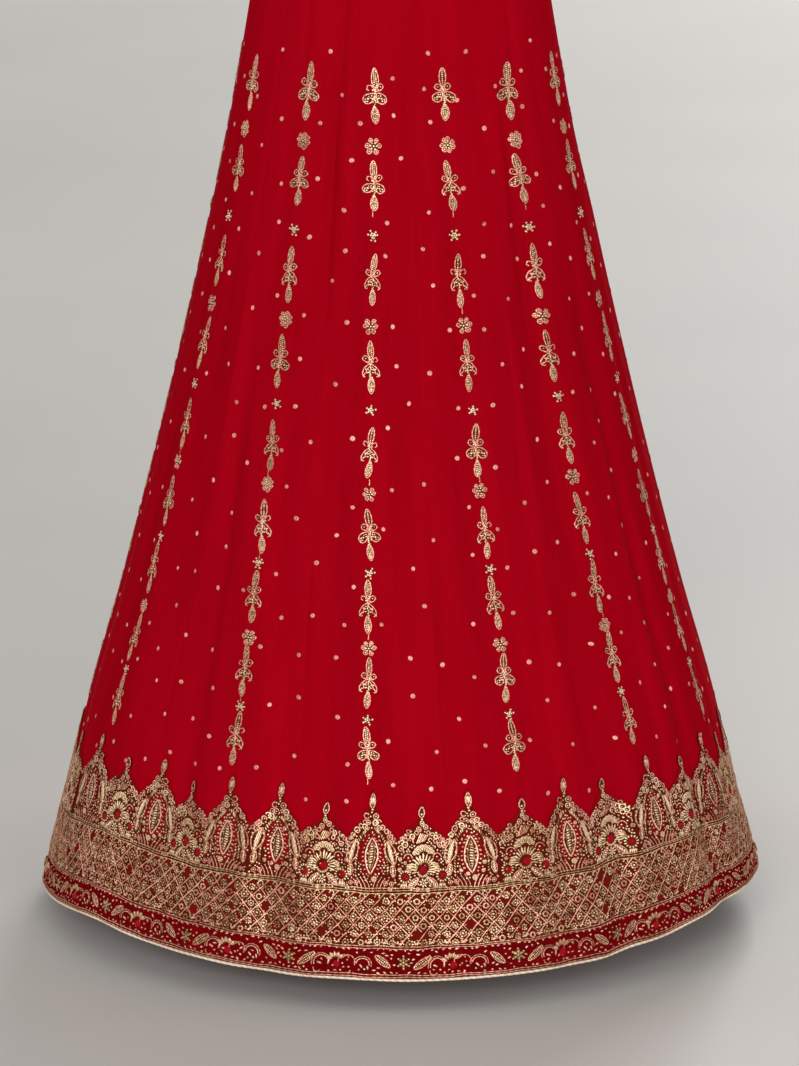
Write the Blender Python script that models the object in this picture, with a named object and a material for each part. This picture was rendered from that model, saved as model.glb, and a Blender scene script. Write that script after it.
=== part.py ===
"""A kalidar lehenga skirt, filled out and held at the waist.

Fourteen tapering panels (kalis) are joined side by side below a plain waistband that laps over
itself at the wearer's left, above a lapped placket. Around the foot of the skirt lie the raised
arch border, the lattice band and the dark hem border, and a fine piping closes the hem.

The frame: metres, +Z up, the wearer faces -Y, and the origin is the middle of the waist opening,
halfway up the waistband. A place on the cloth is given by its turn and its height: the turn is
the angle at the hem, in degrees from the middle of the front towards the wearer's left (+X).
"""

import math

import bpy

# ---- driving sizes, in metres and degrees ------------------------------------------------------

BAND_HEIGHT = 0.040
BAND_TOP = BAND_HEIGHT / 2
BAND_FOOT = -BAND_HEIGHT / 2
BAND_WALL = 0.0026
BAND_STEPS = 72              # straight runs round the waistband
BAND_LAP_TURN = 84.0         # where the outer end of the waistband finishes
BAND_LAP = 14.0              # how far the band's ends lie over each other
BAND_RISE = 22.0             # turn over which the outer end climbs onto the inner one

SEAM_GAP = 0.0003            # between pieces that are sewn together
PANEL_WALL = 0.0015
SKIN_WALL = 0.0011           # arch border, lattice band and hem border

ARCH_FOOT = -0.9690          # the foot of the arch border, the top of the lattice band
LATTICE_FOOT = -1.0175       # the foot of the lattice band, the top of the hem border
HEM_LEVEL = -1.0500          # the lowest point of the piping, where the hem is level
PIPING_RADIUS = 0.0016
PIPING_SIDES = 6
CLOTH_FOOT = HEM_LEVEL + 2 * PIPING_RADIUS + SEAM_GAP    # the cut edge of the panels

# The borders rise and dip a little on their way round. Each row is a turn, the rise at the foot
# of the arches and the rise at the hem.
RISES = (
    (-90.0, -0.0040, -0.0070), (-82.0, -0.0010, -0.0010), (-76.0, 0.0015, 0.0010),
    (-68.0, 0.0070, 0.0058), (-60.0, 0.0120, 0.0110), (-54.0, 0.0127, 0.0123),
    (-48.0, 0.0105, 0.0095), (-42.0, 0.0072, 0.0068), (-34.0, 0.0066, 0.0058),
    (-26.0, 0.0052, 0.0032), (-18.0, 0.0030, 0.0014), (-8.0, 0.0011, 0.0012),
    (4.0, -0.0003, -0.0005), (14.0, 0.0014, 0.0010), (26.0, 0.0043, 0.0026),
    (36.0, 0.0066, 0.0052), (44.0, 0.0098, 0.0100), (52.0, 0.0108, 0.0147),
    (60.0, 0.0085, 0.0166), (70.0, 0.0045, 0.0176), (80.0, 0.0015, 0.0150),
    (90.0, 0.0000, 0.0095), (105.0, 0.0005, 0.0040), (125.0, 0.0005, 0.0010),
    (150.0, -0.0005, -0.0010), (180.0, 0.0000, 0.0000), (210.0, 0.0010, 0.0010),
    (235.0, -0.0005, -0.0010), (256.0, -0.0030, -0.0050),
)
RISE_START = -0.68           # the height below which the cloth follows the borders up and down
RISE_POWER = 1.2             # how fast the rise fades upwards

PLACKET_TURN = 85.3          # on the seam at the wearer's left
PLACKET_WIDTH = 0.022
PLACKET_FOOT = -0.160

# The outline: each row is a level ellipse through the cloth.
# height, half width, half depth
PROFILE = (
    (0.020, 0.1180, 0.0935),
    (-0.020, 0.1190, 0.0945),
    (-0.150, 0.1375, 0.1130),
    (-0.300, 0.1636, 0.1460),
    (-0.450, 0.1958, 0.1870),
    (-0.600, 0.2313, 0.2283),
    (-0.750, 0.2701, 0.2690),
    (-0.850, 0.2991, 0.2986),
    (-0.950, 0.3242, 0.3240),
    (-1.050, 0.3500, 0.3500),
)

# Each panel's middle line: its turn, and how many degrees further round it starts at the waist.
# turn, drift
PANELS = (
    (-65.0, 1.5),
    (-31.2, -2.8),
    (-5.8, -3.1),
    (21.0, -6.0),
    (46.4, -5.7),
    (73.5, -3.0),
    (97.7, -1.0),
    (122.4, 0.0),
    (147.1, 1.0),
    (171.8, 1.5),
    (196.4, 1.0),
    (221.1, 0.0),
    (245.8, -1.0),
    (270.4, 0.0),
)
DRIFT_TOP = -0.25            # above this height a line keeps its whole drift
DRIFT_FOOT = -0.85           # below this height lines and folds run straight down

# The largest folds, as soft troughs in the cloth.
# turn at the top, turn at the hem, height of the top, height of the foot, depth, half width
FOLDS = (
    (-18.5, -18.5, -0.06, -0.62, 0.0035, 2.8),
    (32.0, 33.0, -0.05, -0.34, 0.0030, 3.2),
    (41.0, 38.5, -0.28, -1.40, 0.0095, 4.2),
    (35.0, 27.5, -0.34, -1.40, 0.0045, 3.6),
    (62.6, 63.3, -0.34, -1.40, 0.0080, 4.2),
    (-43.0, -42.0, -0.42, -1.40, 0.0065, 4.6),
    (-29.5, -21.5, -0.55, -1.40, 0.0060, 4.2),
    (8.0, 6.0, -0.62, -1.40, 0.0030, 5.0),
    (-57.0, -55.0, -0.30, -0.85, 0.0030, 4.0),
    (109.0, 111.0, -0.24, -1.40, 0.0085, 4.4),
    (121.0, 124.0, -0.60, -1.40, 0.0040, 4.0),
    (136.0, 134.0, -0.36, -1.40, 0.0060, 4.6),
    (159.5, 159.0, -0.06, -0.60, 0.0035, 3.0),
    (163.0, 166.0, -0.45, -1.40, 0.0080, 4.4),
    (184.0, 184.5, -0.30, -1.40, 0.0050, 5.0),
    (207.0, 203.0, -0.40, -1.40, 0.0090, 4.2),
    (213.0, 216.0, -0.62, -1.40, 0.0045, 4.2),
    (233.5, 234.0, -0.05, -0.70, 0.0035, 3.0),
    (240.0, 243.0, -0.44, -1.40, 0.0070, 4.6),
    (257.0, 255.0, -0.34, -1.40, 0.0060, 4.4),
)
FOLD_FADE_IN = 0.22          # length over which a fold deepens from its top
FOLD_FADE_OUT = 0.14         # length over which it runs out again
STIFF_LENGTH = 0.08          # length below the arches over which the heavy border flattens them
STIFFENING = 0.35            # share of their depth that they lose

# The rows of the panels' mesh, and how many straight runs cross one panel.
PANEL_ROWS = (BAND_FOOT - SEAM_GAP, -0.10, -0.20, -0.32, -0.45, -0.58, -0.69, -0.79, -0.87,
              ARCH_FOOT, LATTICE_FOOT, CLOTH_FOOT)
PANEL_RUNS = 8

# The arches round the foot: a floral arch has a low point, a tall arch a high one. They
# alternate all round, but for two tall ones side by side where the border meets its start.
TALL_POINT = -0.8772
FLORAL_POINT = -0.8895
VALLEY = -0.9240
# turn, height of the point
FRONT_ARCHES = (
    (-80.5, FLORAL_POINT), (-66.8, TALL_POINT), (-55.6, FLORAL_POINT), (-46.4, TALL_POINT),
    (-38.5, FLORAL_POINT), (-30.5, TALL_POINT), (-21.4, TALL_POINT), (-12.8, FLORAL_POINT),
    (-4.8, TALL_POINT), (3.7, FLORAL_POINT), (11.8, TALL_POINT), (21.2, FLORAL_POINT),
    (29.6, TALL_POINT), (38.6, FLORAL_POINT), (48.5, TALL_POINT), (58.2, FLORAL_POINT),
    (68.7, TALL_POINT), (78.2, FLORAL_POINT),
)
BACK_ARCHES = 23
# An arch's outline: share of the way from its middle to its valley, share of its height there.
ARCH_OUTLINE = ((0.0, 1.0), (0.14, 0.58), (0.60, 0.27), (1.0, 0.0))

# ---- colours -----------------------------------------------------------------------------------

# red, green, blue, roughness, metallic
RED_SILK = (0.405, 0.001, 0.006, 0.55, 0.0)
DARK_RED_SILK = (0.215, 0.002, 0.006, 0.60, 0.0)
RED_AND_GOLD = (0.420, 0.190, 0.110, 0.45, 0.3)
PALE_GOLD = (0.640, 0.450, 0.240, 0.40, 0.6)


# ---- small helpers -----------------------------------------------------------------------------

def ease(share):
    """Goes smoothly from 0 to 1 as share does."""
    share = min(max(share, 0.0), 1.0)
    return share * share * (3.0 - 2.0 * share)


def straight_between(rows, place, column):
    """Reads a table of rows sorted by their first number, in straight lines between them."""
    if place <= rows[0][0]:
        return rows[0][column]
    for low, high in zip(rows, rows[1:]):
        if place <= high[0]:
            share = (place - low[0]) / (high[0] - low[0])
            return low[column] + share * (high[column] - low[column])
    return rows[-1][column]


def smooth_between(rows, place, column):
    """Reads the same kind of table along a smooth curve through its rows."""
    last = len(rows) - 1
    index = 0
    while index < last - 1 and place > rows[index + 1][0]:
        index += 1
    before = rows[max(index - 1, 0)]
    low = rows[index]
    high = rows[index + 1]
    after = rows[min(index + 2, last)]
    span = high[0] - low[0]
    slope_low = (high[column] - before[column]) / (high[0] - before[0]) * span
    slope_high = (after[column] - low[column]) / (after[0] - low[0]) * span
    share = (place - low[0]) / span
    bend = high[column] - low[column]
    rest = (1.0 - share) * share
    return (low[column] + share * bend
            + rest * ((1.0 - share) * (slope_low - bend) - share * (slope_high - bend)))


PROFILE_UPWARDS = tuple(reversed(PROFILE))


# ---- the surface of the cloth ------------------------------------------------------------------

def run_round(rows):
    """A table of turns and values that runs on for a full turn past both ends."""
    return [(row[0] + lap,) + row[1:] for lap in (-360.0, 0.0, 360.0) for row in rows]


DRIFT = run_round(PANELS)
RISES_ROUND = run_round(RISES)


def angle_at(turn, height):
    """The real angle, in radians, of the line with this turn at this height."""
    share = (height - DRIFT_FOOT) / (DRIFT_TOP - DRIFT_FOOT)
    share = min(max(share, 0.0), 1.0)
    return math.radians(turn + share * straight_between(DRIFT, turn, 1))


def fold_depth(turn, height):
    """How far the folds draw the cloth in at this place."""
    depth = 0.0
    for turn_top, turn_hem, top, foot, deepest, half_width in FOLDS:
        if height > top or height < foot:
            continue
        share = min((top - height) / (top - DRIFT_FOOT), 1.0)
        middle = turn_top + share * (turn_hem - turn_top)
        away = (turn - middle + 180.0) % 360.0 - 180.0
        fade = ease((top - height) / FOLD_FADE_IN) * ease((height - foot) / FOLD_FADE_OUT)
        depth += deepest * fade * math.exp(-(away / half_width) ** 2)
    return depth * (1.0 - STIFFENING * ease((ARCH_FOOT - height) / STIFF_LENGTH))


def rise_of(turn, height):
    """How far the cloth is raised here by the rise and dip of the borders."""
    if height >= RISE_START:
        return 0.0
    faded = min((RISE_START - height) / (RISE_START - ARCH_FOOT), 1.0) ** RISE_POWER
    below = min(max((ARCH_FOOT - height) / (ARCH_FOOT - CLOTH_FOOT), 0.0), 1.0)
    return faded * ((1.0 - below) * smooth_between(RISES_ROUND, turn, 1)
                    + below * smooth_between(RISES_ROUND, turn, 2))


def smooth_point(turn, height):
    """A point of the cloth's outer face."""
    angle = angle_at(turn, height)
    half_width = smooth_between(PROFILE_UPWARDS, height, 1)
    half_depth = smooth_between(PROFILE_UPWARDS, height, 2)
    out_x = math.sin(angle) / half_width
    out_y = -math.cos(angle) / half_depth
    length = math.hypot(out_x, out_y)
    inwards = fold_depth(turn, height) / length
    return (half_width * math.sin(angle) - out_x * inwards,
            -half_depth * math.cos(angle) - out_y * inwards,
            height + rise_of(turn, height))


def outward(turn, height):
    """The direction straight out of the cloth."""
    step_turn = 0.4
    step_height = 0.004
    left = smooth_point(turn - step_turn, height)
    right = smooth_point(turn + step_turn, height)
    low = smooth_point(turn, height - step_height)
    high = smooth_point(turn, height + step_height)
    across = [b - a for a, b in zip(left, right)]
    up = [b - a for a, b in zip(low, high)]
    normal = (across[1] * up[2] - across[2] * up[1],
              across[2] * up[0] - across[0] * up[2],
              across[0] * up[1] - across[1] * up[0])
    length = math.sqrt(sum(value * value for value in normal))
    return [value / length for value in normal]


def seam_turns():
    """The turn of the seam before each panel, and of the one that closes the round."""
    turns = []
    for index in range(len(PANELS)):
        before = PANELS[index - 1][0]
        if index == 0:
            before -= 360.0
        turns.append((before + PANELS[index][0]) / 2)
    turns.append(turns[0] + 360.0)
    return turns


SEAMS = seam_turns()


def grid_turns():
    """The turns of the mesh lines down the whole skirt."""
    turns = []
    for start, end in zip(SEAMS, SEAMS[1:]):
        for run in range(PANEL_RUNS):
            turns.append(start + (end - start) * run / PANEL_RUNS)
    turns.append(SEAMS[-1])
    return turns


GRID = grid_turns()


def flat_point(turn, height):
    """A point of the panels' flat faces, which run straight between the mesh lines and rows."""
    turn = (turn - GRID[0]) % 360.0 + GRID[0]
    column = 0
    while column < len(GRID) - 2 and turn > GRID[column + 1]:
        column += 1
    row = 0
    while row < len(PANEL_ROWS) - 2 and height < PANEL_ROWS[row + 1]:
        row += 1
    left, right = GRID[column], GRID[column + 1]
    top, foot = PANEL_ROWS[row], PANEL_ROWS[row + 1]
    across = (turn - left) / (right - left)
    down = (top - height) / (top - foot)
    corners = ((smooth_point(left, top), (1 - across) * (1 - down)),
               (smooth_point(right, top), across * (1 - down)),
               (smooth_point(left, foot), (1 - across) * down),
               (smooth_point(right, foot), across * down))
    return [sum(point[axis] * weight for point, weight in corners) for axis in range(3)]


def lifted(turn, height, lift):
    """A point this far out from the panels' faces."""
    point = flat_point(turn, height)
    normal = outward(turn, height)
    return [value + lift * direction for value, direction in zip(point, normal)]


def degrees_for(length, height):
    """The turn that a length of cloth takes up round the skirt at this height."""
    return math.degrees(length / smooth_between(PROFILE_UPWARDS, height, 1))


# ---- meshes ------------------------------------------------------------------------------------

def add_object(name, points, faces, colour):
    """Makes one named piece with its own material."""
    mesh = bpy.data.meshes.new(name)
    mesh.from_pydata([tuple(point) for point in points], [], faces)
    mesh.validate()
    mesh.update()
    mesh.shade_smooth()
    mesh.set_sharp_from_angle(angle=math.radians(50.0))
    red, green, blue, roughness, metallic = colour
    material = bpy.data.materials.new(name)
    material.use_nodes = True
    shader = material.node_tree.nodes["Principled BSDF"]
    shader.inputs["Base Color"].default_value = (red, green, blue, 1.0)
    shader.inputs["Roughness"].default_value = roughness
    shader.inputs["Metallic"].default_value = metallic
    material.diffuse_color = (red, green, blue, 1.0)
    mesh.materials.append(material)
    piece = bpy.data.objects.new(name, mesh)
    bpy.context.scene.collection.objects.link(piece)
    return piece


def wall(name, lines, colour, closed=False):
    """A wall of cloth from its mesh lines.

    Each line holds pairs of an outer and an inner point, from the top of the wall to its foot,
    and the lines go round towards the wearer's left. A closed wall meets itself again.
    """
    rows = len(lines[0])
    points = []
    for line in lines:
        for outer, inner in line:
            points.append(outer)
            points.append(inner)
    count = len(lines)

    def outer_at(column, row):
        return ((column % count) * rows + row) * 2

    faces = []
    columns = count if closed else count - 1
    for column in range(columns):
        for row in range(rows - 1):
            a = outer_at(column, row)
            b = outer_at(column, row + 1)
            c = outer_at(column + 1, row + 1)
            d = outer_at(column + 1, row)
            faces.append((a, b, c, d))
            faces.append((a + 1, d + 1, c + 1, b + 1))
        top = outer_at(column, 0)
        next_top = outer_at(column + 1, 0)
        foot = outer_at(column, rows - 1)
        next_foot = outer_at(column + 1, rows - 1)
        faces.append((top, next_top, next_top + 1, top + 1))
        faces.append((foot, foot + 1, next_foot + 1, next_foot))
    if not closed:
        for row in range(rows - 1):
            first = outer_at(0, row)
            first_below = outer_at(0, row + 1)
            faces.append((first, first + 1, first_below + 1, first_below))
            last = outer_at(count - 1, row)
            last_below = outer_at(count - 1, row + 1)
            faces.append((last, last_below, last_below + 1, last + 1))
    return add_object(name, points, faces, colour)


# ---- the pieces --------------------------------------------------------------------------------

def make_panel(index):
    """One kali, from the waist to the hem, half a seam gap in from each of its seams."""
    lines = []
    for run in range(PANEL_RUNS + 1):
        line = []
        for height in PANEL_ROWS:
            turn = GRID[index * PANEL_RUNS + run]
            if run == 0:
                turn += degrees_for(SEAM_GAP / 2, height)
            if run == PANEL_RUNS:
                turn -= degrees_for(SEAM_GAP / 2, height)
            line.append((lifted(turn, height, 0.0), lifted(turn, height, -PANEL_WALL)))
        lines.append(line)
    wall("kali_%02d" % (index + 1), lines, RED_SILK)


def make_waistband():
    """The band goes once round the waist, and its outer end laps over its inner one."""
    lines = []
    start = BAND_LAP_TURN - BAND_LAP - 360.0
    whole = 360.0 + BAND_LAP
    lift = BAND_WALL + 0.0004
    for step in range(BAND_STEPS + 1):
        turn = start + whole * step / BAND_STEPS
        climb = ease((turn - (start + 360.0 - BAND_RISE)) / BAND_RISE) * lift
        line = []
        for height in (BAND_TOP, BAND_FOOT):
            angle = math.radians(turn)
            half_width = smooth_between(PROFILE_UPWARDS, height, 1) + climb
            half_depth = smooth_between(PROFILE_UPWARDS, height, 2) + climb
            outer = (half_width * math.sin(angle), -half_depth * math.cos(angle), height)
            inner = ((half_width - BAND_WALL) * math.sin(angle),
                     -(half_depth - BAND_WALL) * math.cos(angle), height)
            line.append((outer, inner))
        lines.append(line)
    wall("waistband", lines, RED_SILK)


def make_placket():
    """The lapped strip that covers the opening below the band, at the wearer's left."""
    rows = (BAND_FOOT - SEAM_GAP, -0.10, PLACKET_FOOT)
    half_width = PLACKET_WIDTH / 2
    lines = []
    for share in (-1.0, 0.0, 1.0):
        line = []
        for height in rows:
            turn = PLACKET_TURN + share * degrees_for(half_width, height)
            line.append((lifted(turn, height, SEAM_GAP + SKIN_WALL),
                         lifted(turn, height, SEAM_GAP)))
        lines.append(line)
    wall("placket", lines, RED_SILK)


def arches():
    """Every arch of the border as its turn and the height of its point, all round."""
    found = list(FRONT_ARCHES)
    start = FRONT_ARCHES[-1][0]
    span = FRONT_ARCHES[0][0] + 360.0 - start
    for index in range(BACK_ARCHES):
        point = FLORAL_POINT if index % 2 else TALL_POINT
        found.append((start + span * (index + 1) / (BACK_ARCHES + 1), point))
    return found


def arch_edge():
    """The top edge of the arch border as rows of turn and height, for one full turn."""
    rows = []
    found = arches()
    for index, (turn, point) in enumerate(found):
        before = found[index - 1][0] - (360.0 if index == 0 else 0.0)
        after = found[(index + 1) % len(found)][0] + (360.0 if index == len(found) - 1 else 0.0)
        for share, rise in reversed(ARCH_OUTLINE[1:-1]):
            rows.append((turn + share * (before - turn) / 2, VALLEY + rise * (point - VALLEY)))
        rows.append((turn, point))
        for share, rise in ARCH_OUTLINE[1:]:
            rows.append((turn + share * (after - turn) / 2, VALLEY + rise * (point - VALLEY)))
    rows.insert(0, (rows[-1][0] - 360.0, rows[-1][1]))
    return rows


def make_arch_border():
    """The raised border, whose top edge rises and falls with the arches."""
    edge = arch_edge()
    start = edge[0][0]
    turns = {round(turn, 6) for turn, height in edge[:-1]}
    for turn in GRID[:-1]:
        turn = (turn - start) % 360.0 + start
        if all(abs(turn - other) > 0.15 for other in turns):
            turns.add(round(turn, 6))
    lines = []
    for turn in sorted(turns):
        line = []
        for height in (straight_between(edge, turn, 1), ARCH_FOOT):
            line.append((lifted(turn, height, SEAM_GAP + SKIN_WALL),
                         lifted(turn, height, SEAM_GAP)))
        lines.append(line)
    wall("arch_border", lines, RED_AND_GOLD, closed=True)


def make_band(name, top, foot, colour):
    """A plain band round the skirt, laid over the panels."""
    lines = []
    for turn in GRID[:-1]:
        line = []
        for height in (top, foot):
            line.append((lifted(turn, height, SEAM_GAP + SKIN_WALL),
                         lifted(turn, height, SEAM_GAP)))
        lines.append(line)
    wall(name, lines, colour, closed=True)


def make_piping():
    """The rounded piping along the cut edge of the panels."""
    points = []
    middle_height = HEM_LEVEL + PIPING_RADIUS
    for turn in GRID[:-1]:
        middle = smooth_point(turn, middle_height)
        normal = outward(turn, middle_height)
        length = math.hypot(normal[0], normal[1])
        out = (normal[0] / length, normal[1] / length)
        for side in range(PIPING_SIDES):
            angle = 2.0 * math.pi * side / PIPING_SIDES + math.pi / PIPING_SIDES
            reach = PIPING_RADIUS * math.cos(angle) - PANEL_WALL / 2
            rise = PIPING_RADIUS * math.sin(angle)
            points.append((middle[0] + out[0] * reach, middle[1] + out[1] * reach,
                           middle[2] + rise))
    faces = []
    count = len(GRID) - 1
    for column in range(count):
        following = (column + 1) % count
        for side in range(PIPING_SIDES):
            next_side = (side + 1) % PIPING_SIDES
            faces.append((column * PIPING_SIDES + side, following * PIPING_SIDES + side,
                          following * PIPING_SIDES + next_side, column * PIPING_SIDES + next_side))
    add_object("hem_piping", points, faces, PALE_GOLD)


def main():
    for piece in list(bpy.data.objects):
        bpy.data.objects.remove(piece)
    make_waistband()
    make_placket()
    for index in range(len(PANELS)):
        make_panel(index)
    make_arch_border()
    make_band("lattice_band", ARCH_FOOT - SEAM_GAP, LATTICE_FOOT, RED_AND_GOLD)
    make_band("hem_border", LATTICE_FOOT - SEAM_GAP, CLOTH_FOOT, DARK_RED_SILK)
    make_piping()


main()
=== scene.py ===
"""The looks of a kalidar lehenga skirt: red silk kalis with gold embroidery, laid round the frame.

A place on the cloth is given by its turn (the angle at the hem, in degrees from the middle of the
front towards the wearer's left) and its height in metres. Everything stitched is first drawn flat,
in millimetres, as a Sketch, and a Stitching then lays it on the cloth.
"""

import math

import bpy
import numpy as np
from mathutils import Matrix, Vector


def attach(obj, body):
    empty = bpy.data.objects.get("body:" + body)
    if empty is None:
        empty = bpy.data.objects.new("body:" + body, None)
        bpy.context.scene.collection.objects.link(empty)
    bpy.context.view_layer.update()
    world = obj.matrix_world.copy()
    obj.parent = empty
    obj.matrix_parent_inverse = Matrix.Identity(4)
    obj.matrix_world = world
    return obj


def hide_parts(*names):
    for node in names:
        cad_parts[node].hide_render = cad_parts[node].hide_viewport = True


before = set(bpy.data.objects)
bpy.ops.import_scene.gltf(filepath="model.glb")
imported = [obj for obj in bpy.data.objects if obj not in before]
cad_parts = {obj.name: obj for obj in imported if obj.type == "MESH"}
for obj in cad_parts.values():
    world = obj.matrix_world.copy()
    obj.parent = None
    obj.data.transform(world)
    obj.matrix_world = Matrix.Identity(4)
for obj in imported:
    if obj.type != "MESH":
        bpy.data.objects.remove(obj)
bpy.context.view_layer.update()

BODY = "root"
MM = 0.001

# ---- the shape of the cloth, in metres and degrees, as in the frame ----------------------------

BAND_TOP = 0.020
BAND_FOOT = -0.020
BAND_WALL = 0.0026
BAND_LAP_TURN = 84.0         # where the outer end of the waistband finishes
BAND_LAP = 14.0              # how far the band's ends lie over each other
BAND_RISE = 22.0             # turn over which the outer end climbs onto the inner one
SEAM_GAP = 0.0003            # between pieces that are sewn together
PANEL_WALL = 0.0015
SKIN_WALL = 0.0011           # arch border, lattice band and hem border
ARCH_FOOT = -0.9690          # the foot of the arch border, the top of the lattice band
LATTICE_FOOT = -1.0175       # the foot of the lattice band, the top of the hem border
HEM_LEVEL = -1.0500          # the lowest point of the piping, where the hem is level
PIPING_RADIUS = 0.0016
CLOTH_FOOT = HEM_LEVEL + 2 * PIPING_RADIUS + SEAM_GAP    # the cut edge of the panels
RISE_START = -0.68           # below this height the cloth follows the borders up and down
RISE_POWER = 1.2             # how fast the rise fades upwards
PLACKET_TURN = 85.3
PLACKET_WIDTH = 0.022
PLACKET_FOOT = -0.160
GROUND_LIFT = SEAM_GAP + SKIN_WALL      # the outer face of the border's ground over the panels

# height, half width, half depth
PROFILE = np.array((
    (-1.050, 0.3500, 0.3500),
    (-0.950, 0.3242, 0.3240),
    (-0.850, 0.2991, 0.2986),
    (-0.750, 0.2701, 0.2690),
    (-0.600, 0.2313, 0.2283),
    (-0.450, 0.1958, 0.1870),
    (-0.300, 0.1636, 0.1460),
    (-0.150, 0.1375, 0.1130),
    (-0.020, 0.1190, 0.0945),
    (0.020, 0.1180, 0.0935),
))

# turn, rise at the foot of the arches, rise at the hem
RISES = np.array((
    (-90.0, -0.0040, -0.0070), (-82.0, -0.0010, -0.0010), (-76.0, 0.0015, 0.0010),
    (-68.0, 0.0070, 0.0058), (-60.0, 0.0120, 0.0110), (-54.0, 0.0127, 0.0123),
    (-48.0, 0.0105, 0.0095), (-42.0, 0.0072, 0.0068), (-34.0, 0.0066, 0.0058),
    (-26.0, 0.0052, 0.0032), (-18.0, 0.0030, 0.0014), (-8.0, 0.0011, 0.0012),
    (4.0, -0.0003, -0.0005), (14.0, 0.0014, 0.0010), (26.0, 0.0043, 0.0026),
    (36.0, 0.0066, 0.0052), (44.0, 0.0098, 0.0100), (52.0, 0.0108, 0.0147),
    (60.0, 0.0085, 0.0166), (70.0, 0.0045, 0.0176), (80.0, 0.0015, 0.0150),
    (90.0, 0.0000, 0.0095), (105.0, 0.0005, 0.0040), (125.0, 0.0005, 0.0010),
    (150.0, -0.0005, -0.0010), (180.0, 0.0000, 0.0000), (210.0, 0.0010, 0.0010),
    (235.0, -0.0005, -0.0010), (256.0, -0.0030, -0.0050),
))

# turn of the panel's middle line, how many degrees further round it starts at the waist
PANELS = np.array((
    (-65.0, 1.5), (-31.2, -2.8), (-5.8, -3.1), (21.0, -6.0), (46.4, -5.7), (73.5, -3.0),
    (97.7, -1.0), (122.4, 0.0), (147.1, 1.0), (171.8, 1.5), (196.4, 1.0), (221.1, 0.0),
    (245.8, -1.0), (270.4, 0.0),
))
DRIFT_TOP = -0.25            # above this height a line keeps its whole drift
DRIFT_FOOT = -0.85           # below this height lines and folds run straight down

# turn at the top, turn at the hem, height of the top, height of the foot, depth, half width
FOLDS = (
    (-18.5, -18.5, -0.06, -0.62, 0.0035, 2.8),
    (32.0, 33.0, -0.05, -0.34, 0.0030, 3.2),
    (41.0, 38.5, -0.28, -1.40, 0.0095, 4.2),
    (35.0, 27.5, -0.34, -1.40, 0.0036, 3.6),
    (62.6, 63.3, -0.34, -1.40, 0.0080, 4.2),
    (-43.0, -42.0, -0.42, -1.40, 0.0050, 4.6),
    (-29.5, -21.5, -0.55, -1.40, 0.0060, 4.2),
    (8.0, 6.0, -0.62, -1.40, 0.0030, 5.0),
    (-57.0, -55.0, -0.30, -0.85, 0.0030, 4.0),
    (109.0, 111.0, -0.24, -1.40, 0.0085, 4.4),
    (121.0, 124.0, -0.60, -1.40, 0.0040, 4.0),
    (136.0, 134.0, -0.36, -1.40, 0.0060, 4.6),
    (159.5, 159.0, -0.06, -0.60, 0.0035, 3.0),
    (163.0, 166.0, -0.45, -1.40, 0.0080, 4.4),
    (184.0, 184.5, -0.30, -1.40, 0.0050, 5.0),
    (207.0, 203.0, -0.40, -1.40, 0.0090, 4.2),
    (213.0, 216.0, -0.62, -1.40, 0.0045, 4.2),
    (233.5, 234.0, -0.05, -0.70, 0.0035, 3.0),
    (240.0, 243.0, -0.44, -1.40, 0.0070, 4.6),
    (257.0, 255.0, -0.34, -1.40, 0.0060, 4.4),
)
FOLD_FADE_IN = 0.22          # length over which a fold deepens from its top
FOLD_FADE_OUT = 0.14         # length over which it runs out again
STIFF_LENGTH = 0.08          # length below the arches over which the border flattens the folds
STIFFENING = 0.35            # share of their depth that they lose

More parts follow.
